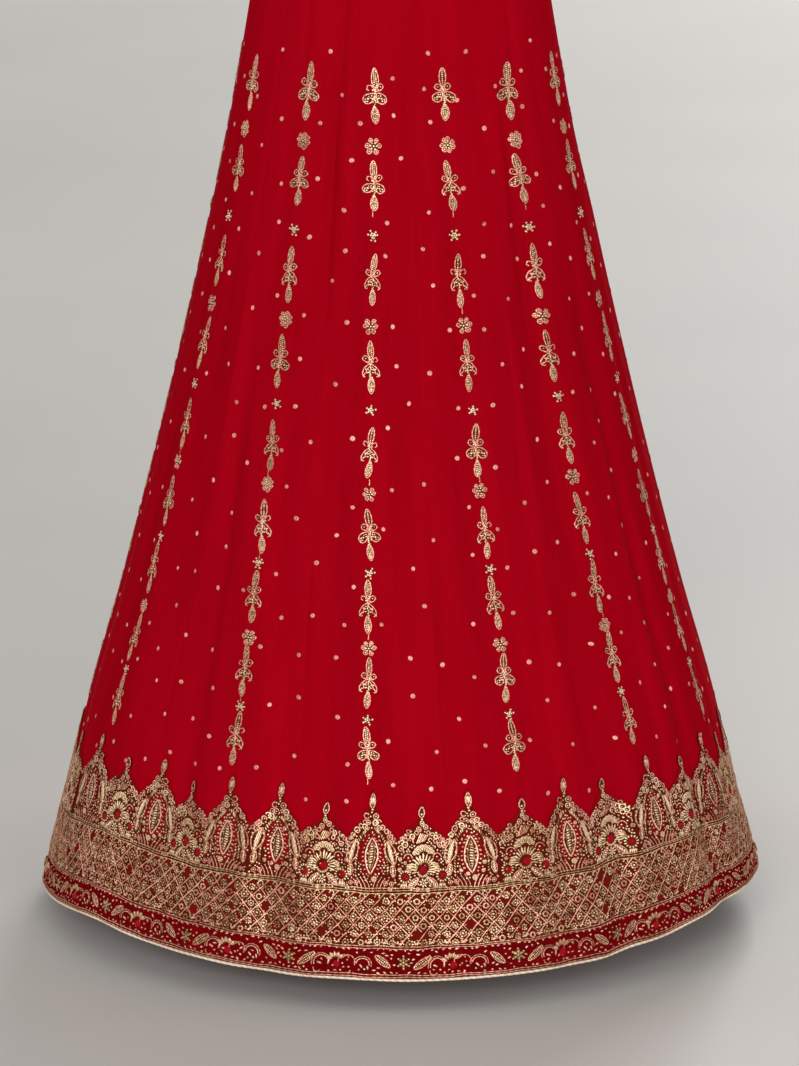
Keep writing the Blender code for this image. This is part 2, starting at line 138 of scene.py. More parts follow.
# The small creases between the folds. A ridge has a depth below nothing.
# turn at the top, turn at the foot, height of the top, height of the foot, depth, half width
CREASES = (
    (-20.4, -19.6, -0.20, -0.52, 0.0036, 1.2),
    (-22.8, -21.0, -0.38, -0.66, 0.0018, 1.2),
    (-15.4, -15.8, -0.10, -0.42, -0.0015, 1.8),
    (43.0, 41.8, -0.24, -0.98, 0.0040, 1.8),
    (31.0, 24.5, -0.50, -1.02, -0.0027, 2.0),
    (43.5, 43.0, -0.60, -1.02, -0.0033, 1.9),
    (58.5, 58.8, -0.50, -1.02, -0.0024, 1.8),
    (66.5, 66.0, -0.60, -0.98, -0.0021, 1.8),
    (-38.0, -37.0, -0.50, -1.00, -0.0030, 2.0),
    (-34.5, -33.5, -0.12, -0.30, 0.0015, 1.8),
    (-47.5, -47.0, -0.36, -0.92, -0.0021, 1.8),
    (-71.5, -71.0, -0.40, -0.90, 0.0024, 2.4),
    (-25.0, -26.0, -0.74, -1.02, -0.0024, 1.8),
    (0.5, 1.0, -0.70, -1.00, 0.0015, 2.4),
    (12.5, 13.5, -0.66, -1.02, -0.0018, 2.2),
    (-12.0, -11.0, -0.74, -1.02, 0.0021, 2.2),
    (16.0, 15.5, -0.05, -0.24, 0.0015, 2.2),
    (50.0, 51.5, -0.10, -0.40, 0.0021, 2.0),
    (54.0, 53.0, -0.72, -1.00, 0.0018, 1.6),
    (78.0, 79.0, -0.40, -0.96, 0.0021, 2.2),
    (91.0, 93.0, -0.30, -0.98, -0.0021, 2.2),
    (102.0, 103.0, -0.10, -0.55, 0.0024, 1.6),
    (115.5, 116.0, -0.40, -1.02, -0.0030, 2.0),
    (128.0, 127.0, -0.20, -0.70, 0.0018, 1.8),
    (140.5, 141.0, -0.48, -1.02, -0.0024, 2.0),
    (152.0, 150.0, -0.30, -0.96, 0.0021, 1.8),
    (171.0, 172.0, -0.50, -1.02, -0.0030, 2.0),
    (178.0, 177.0, -0.08, -0.40, 0.0018, 1.8),
    (191.0, 190.0, -0.44, -0.98, -0.0021, 2.2),
    (209.5, 208.5, -0.55, -1.02, -0.0033, 1.8),
    (221.0, 223.0, -0.20, -0.60, 0.0021, 1.8),
    (228.0, 229.0, -0.56, -1.02, 0.0024, 2.0),
    (236.5, 237.0, -0.60, -0.96, -0.0024, 2.0),
    (249.0, 249.5, -0.30, -0.98, -0.0021, 2.2),
    (264.5, 265.0, -0.24, -0.74, 0.0021, 2.0),
    (275.0, 276.0, -0.44, -0.98, 0.0021, 2.4),
)
CREASE_FADE = 0.10           # length over which a crease deepens, and over which it runs out

TALL_POINT = -0.8772
FLORAL_POINT = -0.8895
VALLEY = -0.9240
# turn, height of the point
FRONT_ARCHES = (
    (-80.5, FLORAL_POINT), (-66.8, TALL_POINT), (-55.6, FLORAL_POINT), (-46.4, TALL_POINT),
    (-38.5, FLORAL_POINT), (-30.5, TALL_POINT), (-21.4, TALL_POINT), (-12.8, FLORAL_POINT),
    (-4.8, TALL_POINT), (3.7, FLORAL_POINT), (11.8, TALL_POINT), (21.2, FLORAL_POINT),
    (29.6, TALL_POINT), (38.6, FLORAL_POINT), (48.5, TALL_POINT), (58.2, FLORAL_POINT),
    (68.7, TALL_POINT), (78.2, FLORAL_POINT),
)
BACK_ARCHES = 23             # evenly spaced in the gap that the front ones leave

# ---- the embroidered lines down the panels -----------------------------------------------------

# heights of what hangs one below the other on each line: sprig, flower, sprig, star, and again
LINE_HEIGHTS = (-0.2535, -0.2985, -0.3345, -0.3800, -0.4205, -0.4615, -0.4985, -0.5375, -0.5750,
                -0.6115, -0.6490, -0.6830, -0.7140, -0.7510, -0.7815, -0.8145, -0.8435)
SEQUIN_TOP = -0.205
SEQUIN_FOOT = -0.900
SEQUIN_TRIES = 9000
SEQUIN_SPACING = 0.0300
SEQUIN_CLEARANCE = 0.0115    # from the middle of an embroidered line
SEQUIN_ABOVE_ARCHES = 0.010

# ---- the camera --------------------------------------------------------------------------------

IMAGE_LONG_SIDE = 1066.0
FOCAL_LENGTH_PIXELS = 6600.0
SENSOR = 36.0
CAMERA_BACK = 6.20           # in front of the skirt's middle
CAMERA_HEIGHT = 0.848        # over the middle of the waistband
CAMERA_PITCH = 14.08         # degrees down
FLOOR_LEVEL = -1.078


# ---- the surface of the cloth ------------------------------------------------------------------

def ease(share):
    """Goes smoothly from 0 to 1 as share does."""
    share = np.clip(share, 0.0, 1.0)
    return share * share * (3.0 - 2.0 * share)


def smooth_between(places, values, place):
    """Reads a table along a smooth curve through its rows."""
    last = len(places) - 1
    index = np.clip(np.searchsorted(places, place, side="left") - 1, 0, last - 1)
    before = np.maximum(index - 1, 0)
    after = np.minimum(index + 2, last)
    span = places[index + 1] - places[index]
    bend = values[index + 1] - values[index]
    slope_low = (values[index + 1] - values[before]) / (places[index + 1] - places[before]) * span
    slope_high = (values[after] - values[index]) / (places[after] - places[index]) * span
    share = (place - places[index]) / span
    rest = (1.0 - share) * share
    return (values[index] + share * bend
            + rest * ((1.0 - share) * (slope_low - bend) - share * (slope_high - bend)))


def profile(height, column):
    """The half width (column 1) or half depth (column 2) of the skirt at these heights."""
    return smooth_between(PROFILE[:, 0], PROFILE[:, column], height)


def run_round(rows):
    """A table by turn that runs on for a full turn past both ends."""
    laps = []
    for lap in (-360.0, 0.0, 360.0):
        moved = rows.copy()
        moved[:, 0] += lap
        laps.append(moved)
    return np.concatenate(laps)


DRIFT = run_round(PANELS)
RISES_ROUND = run_round(RISES)


def rise_of(turn, height):
    """How far the cloth is raised by the rise and dip of the borders."""
    faded = np.clip((RISE_START - height) / (RISE_START - ARCH_FOOT), 0.0, 1.0) ** RISE_POWER
    below = np.clip((ARCH_FOOT - height) / (ARCH_FOOT - CLOTH_FOOT), 0.0, 1.0)
    turns = RISES_ROUND[:, 0]
    return faded * ((1.0 - below) * smooth_between(turns, RISES_ROUND[:, 1], turn)
                    + below * smooth_between(turns, RISES_ROUND[:, 2], turn))


def angle_at(turn, height):
    """The real angle, in radians, of the lines with these turns at these heights."""
    share = np.clip((height - DRIFT_FOOT) / (DRIFT_TOP - DRIFT_FOOT), 0.0, 1.0)
    return np.radians(turn + share * np.interp(turn, DRIFT[:, 0], DRIFT[:, 1]))


def trough(turn, height, row, reach, fade_in, fade_out):
    """How far one row's fold or crease draws the cloth in. Over its reach it moves round."""
    turn_top, turn_foot, top, foot, deepest, half_width = row
    share = np.minimum((top - height) / reach, 1.0)
    middle = turn_top + share * (turn_foot - turn_top)
    away = (turn - middle + 180.0) % 360.0 - 180.0
    fade = ease((top - height) / fade_in) * ease((height - foot) / fade_out)
    return deepest * fade * np.exp(-(away / half_width) ** 2)


def fold_depth(turn, height):
    """How far the folds and creases draw the cloth in."""
    depth = np.zeros_like(height)
    for row in FOLDS:
        depth += trough(turn, height, row, row[2] - DRIFT_FOOT, FOLD_FADE_IN, FOLD_FADE_OUT)
    depth *= 1.0 - STIFFENING * ease((ARCH_FOOT - height) / STIFF_LENGTH)
    for row in CREASES:
        depth += trough(turn, height, row, row[2] - row[3], CREASE_FADE, CREASE_FADE)
    return depth


def cloth_point(turn, height):
    """Points of the cloth's outer face, one row of three for each turn and height."""
    angle = angle_at(turn, height)
    half_width = profile(height, 1)
    half_depth = profile(height, 2)
    out_x = np.sin(angle) / half_width
    out_y = -np.cos(angle) / half_depth
    inwards = fold_depth(turn, height) / np.hypot(out_x, out_y)
    return np.stack((half_width * np.sin(angle) - out_x * inwards,
                     -half_depth * np.cos(angle) - out_y * inwards,
                     height + rise_of(turn, height)), axis=-1)


def outward(turn, height):
    """The directions straight out of the cloth."""
    step_turn = 0.15
    step_height = 0.002
    across = cloth_point(turn + step_turn, height) - cloth_point(turn - step_turn, height)
    up = cloth_point(turn, height + step_height) - cloth_point(turn, height - step_height)
    normal = np.cross(across, up)
    return normal / np.linalg.norm(normal, axis=-1, keepdims=True)


def lifted(turn, height, lift):
    """Points this far out from the cloth's outer face. All three may be arrays."""
    turn, height, lift = np.broadcast_arrays(turn, height, lift)
    turn = np.asarray(turn, float)
    height = np.asarray(height, float)
    return cloth_point(turn, height) + outward(turn, height) * np.asarray(lift)[..., None]


def metres_per_degree(turn, height):
    """How much cloth one degree of turn takes up round the skirt."""
    angle = angle_at(turn, height)
    half_width = profile(height, 1)
    half_depth = profile(height, 2)
    return np.radians(np.hypot(half_width * np.cos(angle), half_depth * np.sin(angle)))


def height_share(height):
    """How much height one metre along the cloth gains."""
    step = 0.01
    slope = (profile(height - step, 1) - profile(height + step, 1)) / (2 * step)
    return 1.0 / np.hypot(1.0, slope)


# the turn of the seam before each panel, and of the one that closes the round
SEAMS = np.append((np.roll(PANELS[:, 0], 1) + PANELS[:, 0]) / 2, 0.0)
SEAMS[0] -= 180.0
SEAMS[-1] = SEAMS[0] + 360.0


# ---- meshes ------------------------------------------------------------------------------------

def make_mesh(name, points, faces, material, tones=None, places=None, lap=None):
    """One piece of the object. Faces is a list of arrays, each with faces of one size.

    Places are where the points lie on the flat cloth, in metres, and lap is the length of a full
    turn round the skirt, for a piece that closes on itself.
    """
    mesh = bpy.data.meshes.new(name)
    sizes = np.concatenate([np.full(len(group), group.shape[1]) for group in faces])
    corners = np.concatenate([group.reshape(-1) for group in faces])
    starts = np.cumsum(sizes) - sizes
    mesh.vertices.add(len(points))
    mesh.vertices.foreach_set("co", np.asarray(points, np.float32).reshape(-1))
    mesh.loops.add(len(corners))
    mesh.loops.foreach_set("vertex_index", corners.astype(np.int32))
    mesh.polygons.add(len(sizes))
    mesh.polygons.foreach_set("loop_start", starts.astype(np.int32))
    mesh.update(calc_edges=True)
    mesh.validate()
    mesh.shade_smooth()
    if tones is not None:
        layer = mesh.attributes.new("tone", "FLOAT", "POINT")
        layer.data.foreach_set("value", np.asarray(tones, np.float32))
    if places is not None:
        spots = places[corners]
        if lap is not None:
            first = np.repeat(spots[starts, 0], sizes)
            spots[:, 0] += lap * np.round((first - spots[:, 0]) / lap)
        layer = mesh.uv_layers.new(name="cloth")
        layer.data.foreach_set("uv", np.asarray(spots, np.float32).reshape(-1))
    mesh.materials.append(material)
    piece = bpy.data.objects.new(name, mesh)
    bpy.context.scene.collection.objects.link(piece)
    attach(piece, BODY)
    return piece


def grid_faces(rows, columns, start, closed, inside):
    """The four-sided faces between the points of a grid, in rows from the top to the foot."""
    row, column = np.meshgrid(np.arange(rows - 1), np.arange(columns if closed else columns - 1),
                              indexing="ij")
    following = (column + 1) % columns
    here = start + row * columns
    below = here + columns
    ring = (here + column, below + column, below + following, here + following)
    return np.stack(ring[::-1] if inside else ring, axis=-1).reshape(-1, 4)


def rim_faces(outer_line, inner_line, flip):
    """The five-sided faces that join an edge to an inner edge with half as many points."""
    faces = np.stack((outer_line[:-2:2], outer_line[1:-1:2], outer_line[2::2],
                      inner_line[1:], inner_line[:-1]), axis=1)
    return faces[:, ::-1] if flip else faces


RIM_ANGLE = 50.0             # edges that bend more than this stay crisp
ALL_KALIS = ["kali_%02d_cloth" % (index + 1) for index in range(len(PANELS))]


def shell(name, outer, inner, places, material, lap=None, tones=None):
    """A thin sheet between two grids of points, with rows from its top to its foot.

    The inner grid has every second row and column. A sheet with a lap closes on itself.
    """
    closed = lap is not None
    rows, columns = outer.shape[:2]
    inner_rows, inner_columns = inner.shape[:2]
    start = rows * columns
    top = np.arange(columns)
    inner_top = start + np.arange(inner_columns)
    if closed:
        top = np.append(top, 0)
        inner_top = np.append(inner_top, start)
    side = np.arange(rows) * columns
    inner_side = start + np.arange(inner_rows) * inner_columns
    faces = [grid_faces(rows, columns, 0, closed, False),
             grid_faces(inner_rows, inner_columns, start, closed, True),
             rim_faces(top, inner_top, False),
             rim_faces(top + (rows - 1) * columns,
                       inner_top + (inner_rows - 1) * inner_columns, True)]
    if not closed:
        faces.append(rim_faces(side, inner_side, True))
        faces.append(rim_faces(side + columns - 1, inner_side + inner_columns - 1, False))
    points = np.concatenate((outer.reshape(-1, 3), inner.reshape(-1, 3)))
    spots = np.concatenate((places.reshape(-1, 2), places[::2, ::2].reshape(-1, 2)))
    if tones is not None:
        tones = np.concatenate((tones.reshape(-1), tones[::2, ::2].reshape(-1)))
    piece = make_mesh(name, points, faces, material, tones=tones, places=spots, lap=lap)
    piece.data.set_sharp_from_angle(angle=math.radians(RIM_ANGLE))
    return piece


def cloth_places(turns, heights, middle):
    """Where the points of a panel lie when it is spread flat about its middle line."""
    return np.stack(((turns - middle) * metres_per_degree(turns, heights), heights), axis=-1)


def make_sheet(node, name, outer, inner, places, material, slot, lap=None, tones=None, **facts):
    """The shell that stands for one node, which it hides. The facts of the sheet that it was cut from
    are not used.
    """
    piece = shell(name, outer, inner, places, material, lap, tones)
    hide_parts(node)


# ---- materials ---------------------------------------------------------------------------------

class Nodes:
    """A short way to build a material's nodes."""

    def __init__(self, name):
        self.material = bpy.data.materials.new(name)
        self.material.use_nodes = True
        self.tree = self.material.node_tree

    def put(self, node, socket, value):
        """Links a socket or sets its value."""
        if isinstance(value, bpy.types.NodeSocket):
            self.tree.links.new(value, node.inputs[socket])
        else:
            node.inputs[socket].default_value = value

    def add(self, kind, settings=(), **inputs):
        node = self.tree.nodes.new(kind)
        for key, value in dict(settings).items():
            setattr(node, key, value)
        for key, value in inputs.items():
            self.put(node, key.replace("_", " "), value)
        return node

    def finish(self, **inputs):
        """Sets the shader's inputs, and gives the material."""
        for key, value in inputs.items():
            self.put(self.tree.nodes["Principled BSDF"], key.replace("_", " "), value)
        return self.material

    def tone(self):
        """The tone that each point of the mesh holds."""
        node = self.add("ShaderNodeAttribute", settings={"attribute_name": "tone"})
        return node.outputs["Fac"]

    def place(self):
        return self.add("ShaderNodeTexCoord").outputs["Object"]

    def ramp(self, share, *stops):
        """A colour ramp through stops of place and colour."""
        node = self.add("ShaderNodeValToRGB", Fac=share)
        band = node.color_ramp
        while len(band.elements) < len(stops):
            band.elements.new(0.5)
        for element, (place, colour) in zip(band.elements, stops):
            element.position = place
            element.color = (*colour, 1.0)
        return node.outputs["Color"]

    def mix(self, share, first, second):
        """The first colour where the share is nothing, and the second where it is whole."""
        node = self.add("ShaderNodeMix", settings={"data_type": "RGBA"})
        for socket, value in ((0, share), (6, first), (7, second)):
            self.put(node, socket, value)
        return node.outputs[2]

    def maths(self, operation, first, second=0.0):
        node = self.add("ShaderNodeMath", settings={"operation": operation})
        self.put(node, 0, first)
        self.put(node, 1, second)
        return node.outputs[0]

    def stretched(self, coordinates, scale):
        """The coordinates times a scale for each axis."""
        return self.add("ShaderNodeMapping", Vector=coordinates, Scale=scale).outputs["Vector"]

    def noise(self, coordinates, scale, detail=2.0, roughness=0.5):
        node = self.add("ShaderNodeTexNoise", Vector=coordinates, Scale=scale, Detail=detail,
                        Roughness=roughness)
        return node.outputs["Fac"]

    def bump(self, height, distance, strength, **under):
        """A bump, over the one given as Normal if there is one."""
        node = self.add("ShaderNodeBump", Height=height, Distance=distance, Strength=strength,
                        **under)
        return node.outputs["Normal"]


THREADS = 350.0              # waves of the weave, for threads 0.45 mm apart
SLUBS = (900.0, 14.0, 1.0)   # scale of the thick places in the threads, across and along


def silk(name, deep, plain, bright, roughness, sheen, clouds=(26.0, 3.2, 1.0), stitch_shade=None):
    """Plain-weave silk: crossed threads, slubs along the cloth and a soft change of depth.

    Given a stitch shade colour, it is mixed in by each point's tone: painted shade wherever close
    stitching covers the silk.
    """
    nodes = Nodes(name)
    place = nodes.add("ShaderNodeUVMap", settings={"uv_map": "cloth"}).outputs["UV"]
    warp, weft = (nodes.add("ShaderNodeTexWave", settings={"bands_direction": direction},
                            Vector=place, Scale=THREADS, Distortion=0.3, Detail=1.0).outputs["Fac"]
                  for direction in "XY")
    weave = nodes.maths("MULTIPLY", warp, weft)
    slub = nodes.noise(nodes.stretched(place, SLUBS), 1.0, 3.0)
    cloud = nodes.noise(nodes.stretched(place, clouds), 1.0)
    mottle = nodes.maths("ADD", nodes.maths("MULTIPLY", slub, 0.35),
                         nodes.maths("MULTIPLY", cloud, 0.65))
    colour = nodes.ramp(mottle, (0.30, deep), (0.52, plain), (0.74, bright))
    if stitch_shade is not None:
        colour = nodes.mix(nodes.tone(), (*stitch_shade, 1.0), colour)
    fine = nodes.bump(weave, 0.00010, 0.5)
    return nodes.finish(Base_Color=colour, Roughness=roughness, Specular_IOR_Level=0.0,
                        Sheen_Weight=sheen, Sheen_Roughness=0.16,
                        Sheen_Tint=(1.0, 0.30, 0.30, 1.0),
                        Normal=nodes.bump(slub, 0.00012, 0.35, Normal=fine))


GOLD_STOPS = (0.0, 0.20, 0.38, 0.57, 0.84)


def gold(name, colours, blush, metallic, roughness):
    """Metal thread and beads: five colours, from the dark foot of the work, a painted contact shadow,
    to its pale top, a painted highlight.

    The tone of a point is how pale it is. Thin cords take the blush colours instead, pinker, with the
    red cloth's reflection painted into them, and their tones are below nothing.
    """
    nodes = Nodes(name)
    tone = nodes.tone()
    place = nodes.place()
    fleck = nodes.noise(place, 520.0, 2.0, 0.6)
    shade = nodes.noise(place, 34.0, 1.0)
    uneven = nodes.maths("ADD", nodes.maths("MULTIPLY", fleck, 0.90),
                         nodes.maths("MULTIPLY", shade, 0.40))
    uneven = nodes.maths("ADD", uneven, 0.35)
    share = nodes.maths("MULTIPLY", nodes.maths("ABSOLUTE", tone), uneven)
    share = nodes.maths("MULTIPLY", share, 0.60)
    colour = nodes.mix(nodes.maths("LESS_THAN", tone, 0.0),
                       nodes.ramp(share, *zip(GOLD_STOPS, colours)),
                       nodes.ramp(share, *zip(GOLD_STOPS, blush)))
    return nodes.finish(Base_Color=colour, Metallic=metallic, Roughness=roughness,
                        Specular_IOR_Level=0.05, Specular_Tint=(1.0, 0.74, 0.52, 1.0),
                        Normal=nodes.bump(fleck, 0.0002, 0.5))


def satin(name, deep, bright):
    """The red satin of the flower centres, painted deep round the foot of a disc as shade."""
    nodes = Nodes(name)
    grain = nodes.noise(nodes.place(), 900.0)
    colour = nodes.ramp(nodes.maths("MULTIPLY", nodes.tone(), grain), (0.0, deep), (0.6, bright))
    return nodes.finish(Base_Color=colour, Roughness=0.60, Specular_IOR_Level=0.05,
                        Normal=nodes.bump(grain, 0.0001, 0.4))


def floor_finish():
    """A plain pale floor."""
    nodes = Nodes("pale_floor")
    cloud = nodes.noise(nodes.place(), 1.2)
    return nodes.finish(Base_Color=nodes.ramp(cloud, (0.3, (0.560, 0.545, 0.523)),
                                              (0.7, (0.610, 0.590, 0.566))), Roughness=0.55)


RED_SILK = silk("red_silk", (0.280, 0.0005, 0.0056), (0.344, 0.0007, 0.0074),
                (0.394, 0.0010, 0.0090), 0.52, 0.12)
# the last colour of the arch silk is painted shade, mixed in where close stitching covers the border's
# ground
ARCH_SILK = silk("arch_silk", (0.280, 0.0005, 0.0050), (0.334, 0.0007, 0.0064),
                 (0.374, 0.0010, 0.0078), 0.60, 0.03, (60.0, 60.0, 1.0), (0.080, 0.0090, 0.0040))
# darker and browner than the kalis' silk all over: painted shade between the close stitches of the
# lattice
GROUND_SILK = silk("border_ground", (0.096, 0.0120, 0.0060), (0.150, 0.0070, 0.0050),
                   (0.300, 0.0015, 0.0062), 0.60, 0.03, (75.0, 75.0, 1.0))
HEM_SILK = silk("hem_silk", (0.100, 0.0015, 0.0020), (0.160, 0.0012, 0.0030),
                (0.240, 0.0012, 0.0048), 0.60, 0.03, (60.0, 60.0, 1.0))
# the first colour of each gold ramp is painted contact shadow round the foot of every stitch and bead,
# and the last one a painted highlight
FOOT_SHADOW_COLOUR = (0.016, 0.0025, 0.0010)
GOLD_COLOURS = (FOOT_SHADOW_COLOUR, (0.086, 0.022, 0.008), (0.250, 0.112, 0.044), (0.560, 0.340, 0.172),
                (0.980, 0.760, 0.545))
GOLD = gold("gold_embroidery", GOLD_COLOURS,
            (FOOT_SHADOW_COLOUR, (0.130, 0.012, 0.009), (0.520, 0.130, 0.092), (0.760, 0.300, 0.220),
             (1.000, 0.620, 0.500)), 0.42, 0.36)
BORDER_GOLD = gold("border_gold", GOLD_COLOURS,
                   (FOOT_SHADOW_COLOUR, (0.110, 0.014, 0.008), (0.380, 0.130, 0.080),
                    (0.660, 0.310, 0.210), (1.000, 0.640, 0.500)), 0.42, 0.36)
# from the painted shadow round a sequin's foot to its painted highlight
SEQUIN_COLOURS = ((0.030, 0.001, 0.002), (0.110, 0.006, 0.006), (0.480, 0.110, 0.085),
                  (0.780, 0.270, 0.215), (0.980, 0.520, 0.430))
SEQUIN_GOLD = gold("sequin_gold", SEQUIN_COLOURS, SEQUIN_COLOURS, 0.20, 0.34)
PIPING_COLOURS = ((0.320, 0.150, 0.080), (0.520, 0.300, 0.180), (0.840, 0.640, 0.460),
                  (0.980, 0.860, 0.720), (1.000, 0.940, 0.860))
PALE_GOLD = gold("gold_piping", PIPING_COLOURS, PIPING_COLOURS, 0.20, 0.45)
RED_SATIN = satin("red_appliques", (0.140, 0.001, 0.003), (0.400, 0.004, 0.011))


# ---- stitched shapes, drawn flat in millimetres ------------------------------------------------

FOOT_SHADOW_REACH = 0.70                # how far the painted contact shadow at the foot of a stitch spreads past its side
TWIST = 0.14                 # how far the plies of a cord change its tone, as painted highlight and shade on each ply
TWIST_RISE = 0.35            # the share of that by which they change its height
CORD_HEIGHT = 0.8
CORD_HIGHLIGHT_TONE = 1.3          # of the top of a cord, for a tone of 1: a painted highlight along its ridge


def polar(x, y, reach, angle):
    """The place this far from x, y. Angles are degrees anticlockwise from the right."""
    turn = math.radians(angle)
    return x + reach * math.cos(turn), y + reach * math.sin(turn)


def circle(sides, start=0.0):
    """Points round a circle of radius 1, anticlockwise from the right."""
    angles = np.arange(sides) * 2 * math.pi / sides + start
    return np.stack((np.cos(angles), np.sin(angles)), axis=1)


def turned(points, x, y, angle):
    """Flat points turned anticlockwise about nothing and then moved."""
    turn = math.radians(angle)
    cosine, sine = math.cos(turn), math.sin(turn)
    return np.stack((points[:, 0] * cosine - points[:, 1] * sine + x,
                     points[:, 0] * sine + points[:, 1] * cosine + y), axis=1)


def smooth_path(points, count):
    """Count points along a smooth curve through the points given."""
    points = np.asarray(points, float)
    ends = np.concatenate(([2 * points[0] - points[1]], points, [2 * points[-1] - points[-2]]))
    at = np.linspace(0.0, len(points) - 1.0, count)
    index = np.minimum(at.astype(int), len(points) - 2)
    share = (at - index)[:, None]
    a, b, c, d = (ends[index + step] for step in range(4))
    return 0.5 * (2 * b + (c - a) * share + (2 * a - 5 * b + 4 * c - d) * share ** 2
                  + (3 * b - a - 3 * c + d) * share ** 3)


def directions(path, closed):
    """The direction in which a path runs at each of its points."""
    if closed:
        ahead = np.roll(path, -1, axis=0) - np.roll(path, 1, axis=0)
    else:
        ahead = np.gradient(path, axis=0)
    return ahead / np.maximum(np.linalg.norm(ahead, axis=1, keepdims=True), 1e-9)


def cord_section(count, width, height, tone, closed):
    """A cord's reach to the side, and the heights, tones and faces along its points.

    Across it are a dark foot, the bright top and the other foot: painted contact shadow, a painted
    highlight and shadow again. The plies show as a wobble of height and of painted light and shade.
    """
    reach = np.array((width / 2 + FOOT_SHADOW_REACH, 0.0, -width / 2 - FOOT_SHADOW_REACH))
    wobble = np.where(np.arange(count) % 2, 1.0, -1.0) * TWIST
    rises = np.zeros((count, 3))
    rises[:, 1] = height * (1.0 + TWIST_RISE * wobble)
    tones = np.zeros((count, 3))
    tones[:, 1] = CORD_HIGHLIGHT_TONE * (tone + wobble)
    here = np.arange(count if closed else count - 1) * 3
    following = (here + 3) % (count * 3)
    faces = [np.stack((here + side, here + side + 1, following + side + 1, following + side), axis=1)
             for side in (0, 1)]
    return reach, rises, tones.reshape(-1), np.concatenate(faces)


